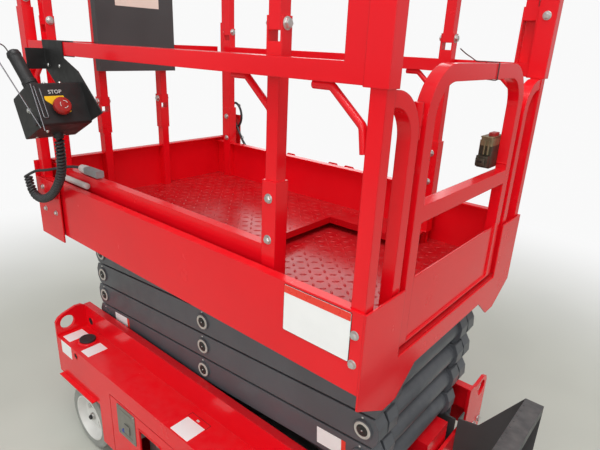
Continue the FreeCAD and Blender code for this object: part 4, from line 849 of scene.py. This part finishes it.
def wheel_parts(end, side, x, out):
    """Rings and lugs of a tyre, and the rim, bolts, cap and plug of its hub."""
    hub = "hub_%s_%s" % (end, side)
    body = "wheel_%s_%s" % (end, side)
    outward, inward = (0, out, 0), (0, -out, 0)
    face = out * WHEEL_FACE
    tread = []
    at = facing((x, face - out * 0.0004, AXLE_HEIGHT), outward)
    for radius, tall in ((0.1060, 0.0011), (0.0980, 0.0009), (0.0895, 0.0012)):
        ring = [(radius - 0.0016, 0), (radius - 0.0008, tall), (radius + 0.0008, tall), (radius + 0.0016, 0)]
        tread.append(lathe(ring, at, 48, False))
    for k in range(LUGS):
        for way in (-1, 1):
            at = Matrix.Translation((x, out * WHEEL_MIDDLE + way * LUG_SHIFT, AXLE_HEIGHT))
            at = at @ Matrix.Rotation(math.tau * k / LUGS, 4, "Y") @ Matrix.Translation((0, 0, LUG_RADIUS))
            at = at @ Matrix.Rotation(math.radians(way * LUG_SLANT), 4, "Z")
            tread.append(slab(0.0030, 0.034, 0.0006, at, 0.0008))
    piece("tyre_%s_%s_lines" % (end, side), tread, TYRE, body)
    seat = probe(hub, (x + 0.035, out * 0.5, AXLE_HEIGHT), inward)
    middle = probe(hub, (x, out * 0.5, AXLE_HEIGHT), inward)
    bolts = []
    for k in range(BOLTS):
        angle = math.tau * k / BOLTS + BOLT_TURN
        place = (x + BOLT_CIRCLE * math.cos(angle), seat.y, AXLE_HEIGHT + BOLT_CIRCLE * math.sin(angle))
        bolts += hex_bolt(place, outward, 0.0085, 0.007)
    at = facing((x, max(abs(middle.y), abs(seat.y)) * out, AXLE_HEIGHT), outward)
    bolts.append(lathe(CAP_LINE, at, 24))
    piece(hub + "_plug", [lathe(PLUG_LINE, at, 20)], BLACK, body)
    piece(hub + "_bolts", bolts, ZINC, body)
    rim = lathe(HUB_RIM_LINE, facing((x, face, AXLE_HEIGHT), outward), 48, False)
    piece(hub + "_rim", [rim], CREAM, body)


for end, x in (("front", AXLE_X), ("rear", -AXLE_X)):
    for side, out in (("left", 1), ("right", -1)):
        wheel_parts(end, side, x, out)


# Notches along the inner edge of the ladder's treads

NOTCH_PITCH = 0.025
notches = []
for start in (0.70, 0.45, 0.28):
    top = probe("ladder", (-0.796, 0.01, start), (0, 0, -1))
    for k in range(13):
        at = Matrix.Translation((-0.7795, -0.150 + NOTCH_PITCH * k, top.z - 0.0002))
        notches.append(slab(0.0050, 0.0080, 0.0010, at, 0.0022, 0.0004))
piece("tread_studs", notches, CHARCOAL, "chassis")


# Chassis: hatch, round holes with their grommets, and filler; the hatch's gaps and the holes' insides are
# painted shade

HOLES = ((0.0100, (0.481, SIDE_FACE, 0.371)), (0.0135, (0.575, 0.272, 0.420)))
shade_marks = []
grommets = []
# Painted shade: thin dark strips on the flat top stand for the shade in the hatch's gaps
for x, y, width, height in ((-0.076, 0.2960, 0.080, 0.0010), (-0.116, 0.3065, 0.0010, 0.022),
                            (-0.036, 0.3065, 0.0010, 0.022)):
    shade_marks.append(slab(width, height, 0.0003, Matrix.Translation((x, y, FLAT_TOP)), 0.0004))
# Each hole is a flat dark disc of painted shade inside a red grommet, with no real opening
for radius, point in HOLES:
    at = facing(point, LEFT)
    shade_marks.append(lathe([(radius, 0), (radius, 0.0004), (radius - 0.0006, 0.0006)], at, 24))
    lip = [(radius + 0.0024, 0), (radius + 0.0020, 0.0012), (radius + 0.0004, 0.0014), (radius, 0.0002)]
    grommets.append(lathe(lip, at, 28, False))
piece("hatch_gap_shade", shade_marks, PAINTED_SHADE, "chassis")
piece("grommets", grommets, RED, "chassis")
hatch_hook = slab(0.010, 0.006, 0.0016, Matrix.Translation((-0.075, 0.3075, FLAT_TOP)), 0.0015, 0.0005)
piece("hatch_catch", [hatch_hook], PALE, "chassis")
FILL_AT = facing((0.509, 0.3215, FLAT_TOP), UP, LEFT)
NECK_LINE = [(0.0340, 0), (0.0335, 0.0016), (0.0300, 0.0040), (0.0280, 0.0050)]
LID_LINE = [(0.0265, 0.0050), (0.0270, 0.0060), (0.0270, 0.0110), (0.0258, 0.0124), (0.0215, 0.0124),
            (0.0205, 0.0116), (0.0060, 0.0118)]
piece("filler_neck", [lathe(NECK_LINE, FILL_AT, 36)], RED, "chassis")
filler = piece("filler_lid", [lathe(LID_LINE, FILL_AT, 36)], BLACK, "chassis")
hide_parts("filler_cap")


# Left tray: catch and ground controls

KNOB_LINE = [(0.0088, 0), (0.0088, 0.004), (0.0072, 0.0085), (0.0030, 0.0095)]
CATCH_TOP = 0.0020
wall = probe("tray_left", (0.185, 0.60, 0.262), (0, -1, 0)).y
panel = probe("ground_controls", (0.061, 0.60, 0.240), (0, -1, 0)).y
catch_at = facing((0.185, wall, 0.2655), LEFT)
catch = [slab(0.098, 0.112, 0.0022, catch_at, 0.006, 0.0005)]
for y in (0.0415, -0.0405):
    groove_at = catch_at @ Matrix.Translation((0, y, CATCH_TOP))
    catch.append(slab(0.066, 0.0040, 0.0012, groove_at, 0.0018, 0.0004))
handle_at = catch_at @ Matrix.Translation((0.004, -0.016, CATCH_TOP))
catch.append(slab(0.030, 0.034, 0.0032, handle_at, 0.004, 0.0008))
for x in (-0.042, 0.042):
    for y in (0.049, -0.049):
        rivet_at = catch_at @ Matrix.Translation((x, y, 0.0021))
        catch.append(lathe([(0.0042, 0.0), (0.0036, 0.0016), (0.0015, 0.0021)], rivet_at, 14))
piece("tray_catch", catch, STEEL, "tray_left")
key_at = catch_at @ Matrix.Translation((-0.016, -0.030, CATCH_TOP))
key = lathe([(0.0070, 0), (0.0070, 0.0030), (0.0058, 0.0040)], key_at, 20)
piece("tray_catch_key", [key], BLUE, "tray_left")
for name, x, material, slot in (
        ("ground_knobs_blue", 0.034, BLUE, None),
        ("ground_knobs_pink", 0.088, PINK, None),
        ("ground_knobs_black", 0.061, BLACK, "black_plastic")):
    piece(name, [lathe(KNOB_LINE, facing((x, panel, 0.262), LEFT), 24)], material, "tray_left")
rim_parts = []
for x, z, width, height in ((0.061, 0.2905, 0.112, 0.004), (0.061, 0.1885, 0.112, 0.004),
                            (0.0065, 0.2395, 0.004, 0.106), (0.1155, 0.2395, 0.004, 0.106)):
    rim_parts.append(slab(width, height, 0.0016, facing((x, wall, z), LEFT), 0.0012, 0.0004))
piece("window_rim", rim_parts, RED, "tray_left")


# Document box on the front guard

DOCUMENT_X = 0.521
label("document_label", (DOCUMENT_X, 0.035, 1.520), BACKWARD, 0.155, 0.086, "front_guard", material=PAPER)
lip = slab(0.272, 0.012, 0.0018, facing((DOCUMENT_X, 0.040, 1.5925), BACKWARD), 0.002, 0.0005)
piece("document_lip", [lip], CHARCOAL, "front_guard")


# Welds where the tubes meet

seams = {"platform": [], "deck": [], "gate": []}
for side in (1, -1):
    for z in (1.337, 1.369):
        weld(seams["platform"], (-0.5755, side * 0.3535, z), (-0.5755, side * 0.3775, z), 0.0024)
    weld(seams["platform"], (0.540, side * 0.3525, 0.979), (0.568, side * 0.3525, 0.979), 0.0022)
    for z in (1.113, 1.143):
        weld(seams["gate"], (-0.588, side * 0.2078, z), (-0.611, side * 0.2078, z), 0.0022)
    weld(seams["deck"], (-0.385, side * 0.3160, 0.8785), (-0.349, side * 0.3160, 0.8785), 0.0024)
for body, parts in seams.items():
    piece("welds_" + body, parts, RED, body, 80.0)


# Floor, which the camera sees fade to white away from the lift

REACH = 30.0
FLOOR_HEIGHT = -0.0005
FADE_START, FADE_END = 1.3, 3.4
WHITE_GLOW = 0.95
SKY_LIGHT = 0.52
floor = bpy.data.meshes.new("floor")
corners = [(x * REACH, y * REACH, FLOOR_HEIGHT) for x, y in ((-1, -1), (1, -1), (1, 1), (-1, 1))]
floor.from_pydata(corners, [], [(0, 1, 2, 3)])
ground = bpy.data.objects.new("floor", floor)
scene.collection.objects.link(ground)
concrete = finish_of("floor_grey", (0.54, 0.55, 0.49), 0.7, spread=0.06, patch=1.5, grain=60.0, bump=0.05)
floor.materials.append(concrete)
items = concrete.node_tree.nodes
links = concrete.node_tree.links
place = items.new("ShaderNodeTexCoord")
distance = items.new("ShaderNodeVectorMath")
distance.operation = "LENGTH"
links.new(place.outputs["Object"], distance.inputs[0])
fade = items.new("ShaderNodeMapRange")
fade.interpolation_type = "SMOOTHSTEP"
fade.inputs["From Min"].default_value = FADE_START
fade.inputs["From Max"].default_value = FADE_END
links.new(distance.outputs["Value"], fade.inputs["Value"])
rays = items.new("ShaderNodeLightPath")
share = items.new("ShaderNodeMath")
share.operation = "MULTIPLY"
links.new(fade.outputs["Result"], share.inputs[0])
links.new(rays.outputs["Is Camera Ray"], share.inputs[1])
glow = items.new("ShaderNodeEmission")
glow.inputs["Color"].default_value = (1, 1, 1, 1)
glow.inputs["Strength"].default_value = WHITE_GLOW
either = items.new("ShaderNodeMixShader")
links.new(share.outputs["Value"], either.inputs["Fac"])
links.new(items["Principled BSDF"].outputs["BSDF"], either.inputs[1])
links.new(glow.outputs["Emission"], either.inputs[2])
links.new(either.outputs["Shader"], items["Material Output"].inputs["Surface"])


# Light: a white world, dimmer for all but the camera, and four lamps

world = bpy.data.worlds.new("studio")
scene.world = world
world.use_nodes = True
items = world.node_tree.nodes
links = world.node_tree.links
back = items["Background"]
back.inputs["Color"].default_value = (1, 1, 1, 1)
rays = items.new("ShaderNodeLightPath")
seen = items.new("ShaderNodeMath")
seen.operation = "MAXIMUM"
links.new(rays.outputs["Is Camera Ray"], seen.inputs[0])
links.new(rays.outputs["Is Transmission Ray"], seen.inputs[1])
strength = items.new("ShaderNodeMapRange")
strength.inputs["To Min"].default_value = SKY_LIGHT
strength.inputs["To Max"].default_value = WHITE_GLOW
links.new(seen.outputs["Value"], strength.inputs["Value"])
links.new(strength.outputs["Result"], back.inputs["Strength"])


LAMP_SIZE = 2.6


def lamp(name, place, goal, power):
    """A square area lamp turned towards its goal."""
    data = bpy.data.lights.new(name, "AREA")
    data.shape = "SQUARE"
    data.size = LAMP_SIZE
    data.energy = power
    item = bpy.data.objects.new(name, data)
    item.location = place
    item.rotation_euler = (Vector(goal) - Vector(place)).to_track_quat("-Z", "Y").to_euler()
    scene.collection.objects.link(item)


lamp("key", (-1.0, 1.5, 5.0), (0, 0, 0.8), 115)
lamp("side", (-1.5, 4.6, 2.4), (0, 0, 0.8), 60)
lamp("rear", (-4.6, 0.2, 2.6), (0, 0, 0.8), 28)
lamp("far", (2.5, -4.0, 3.0), (0, 0, 0.9), 30)
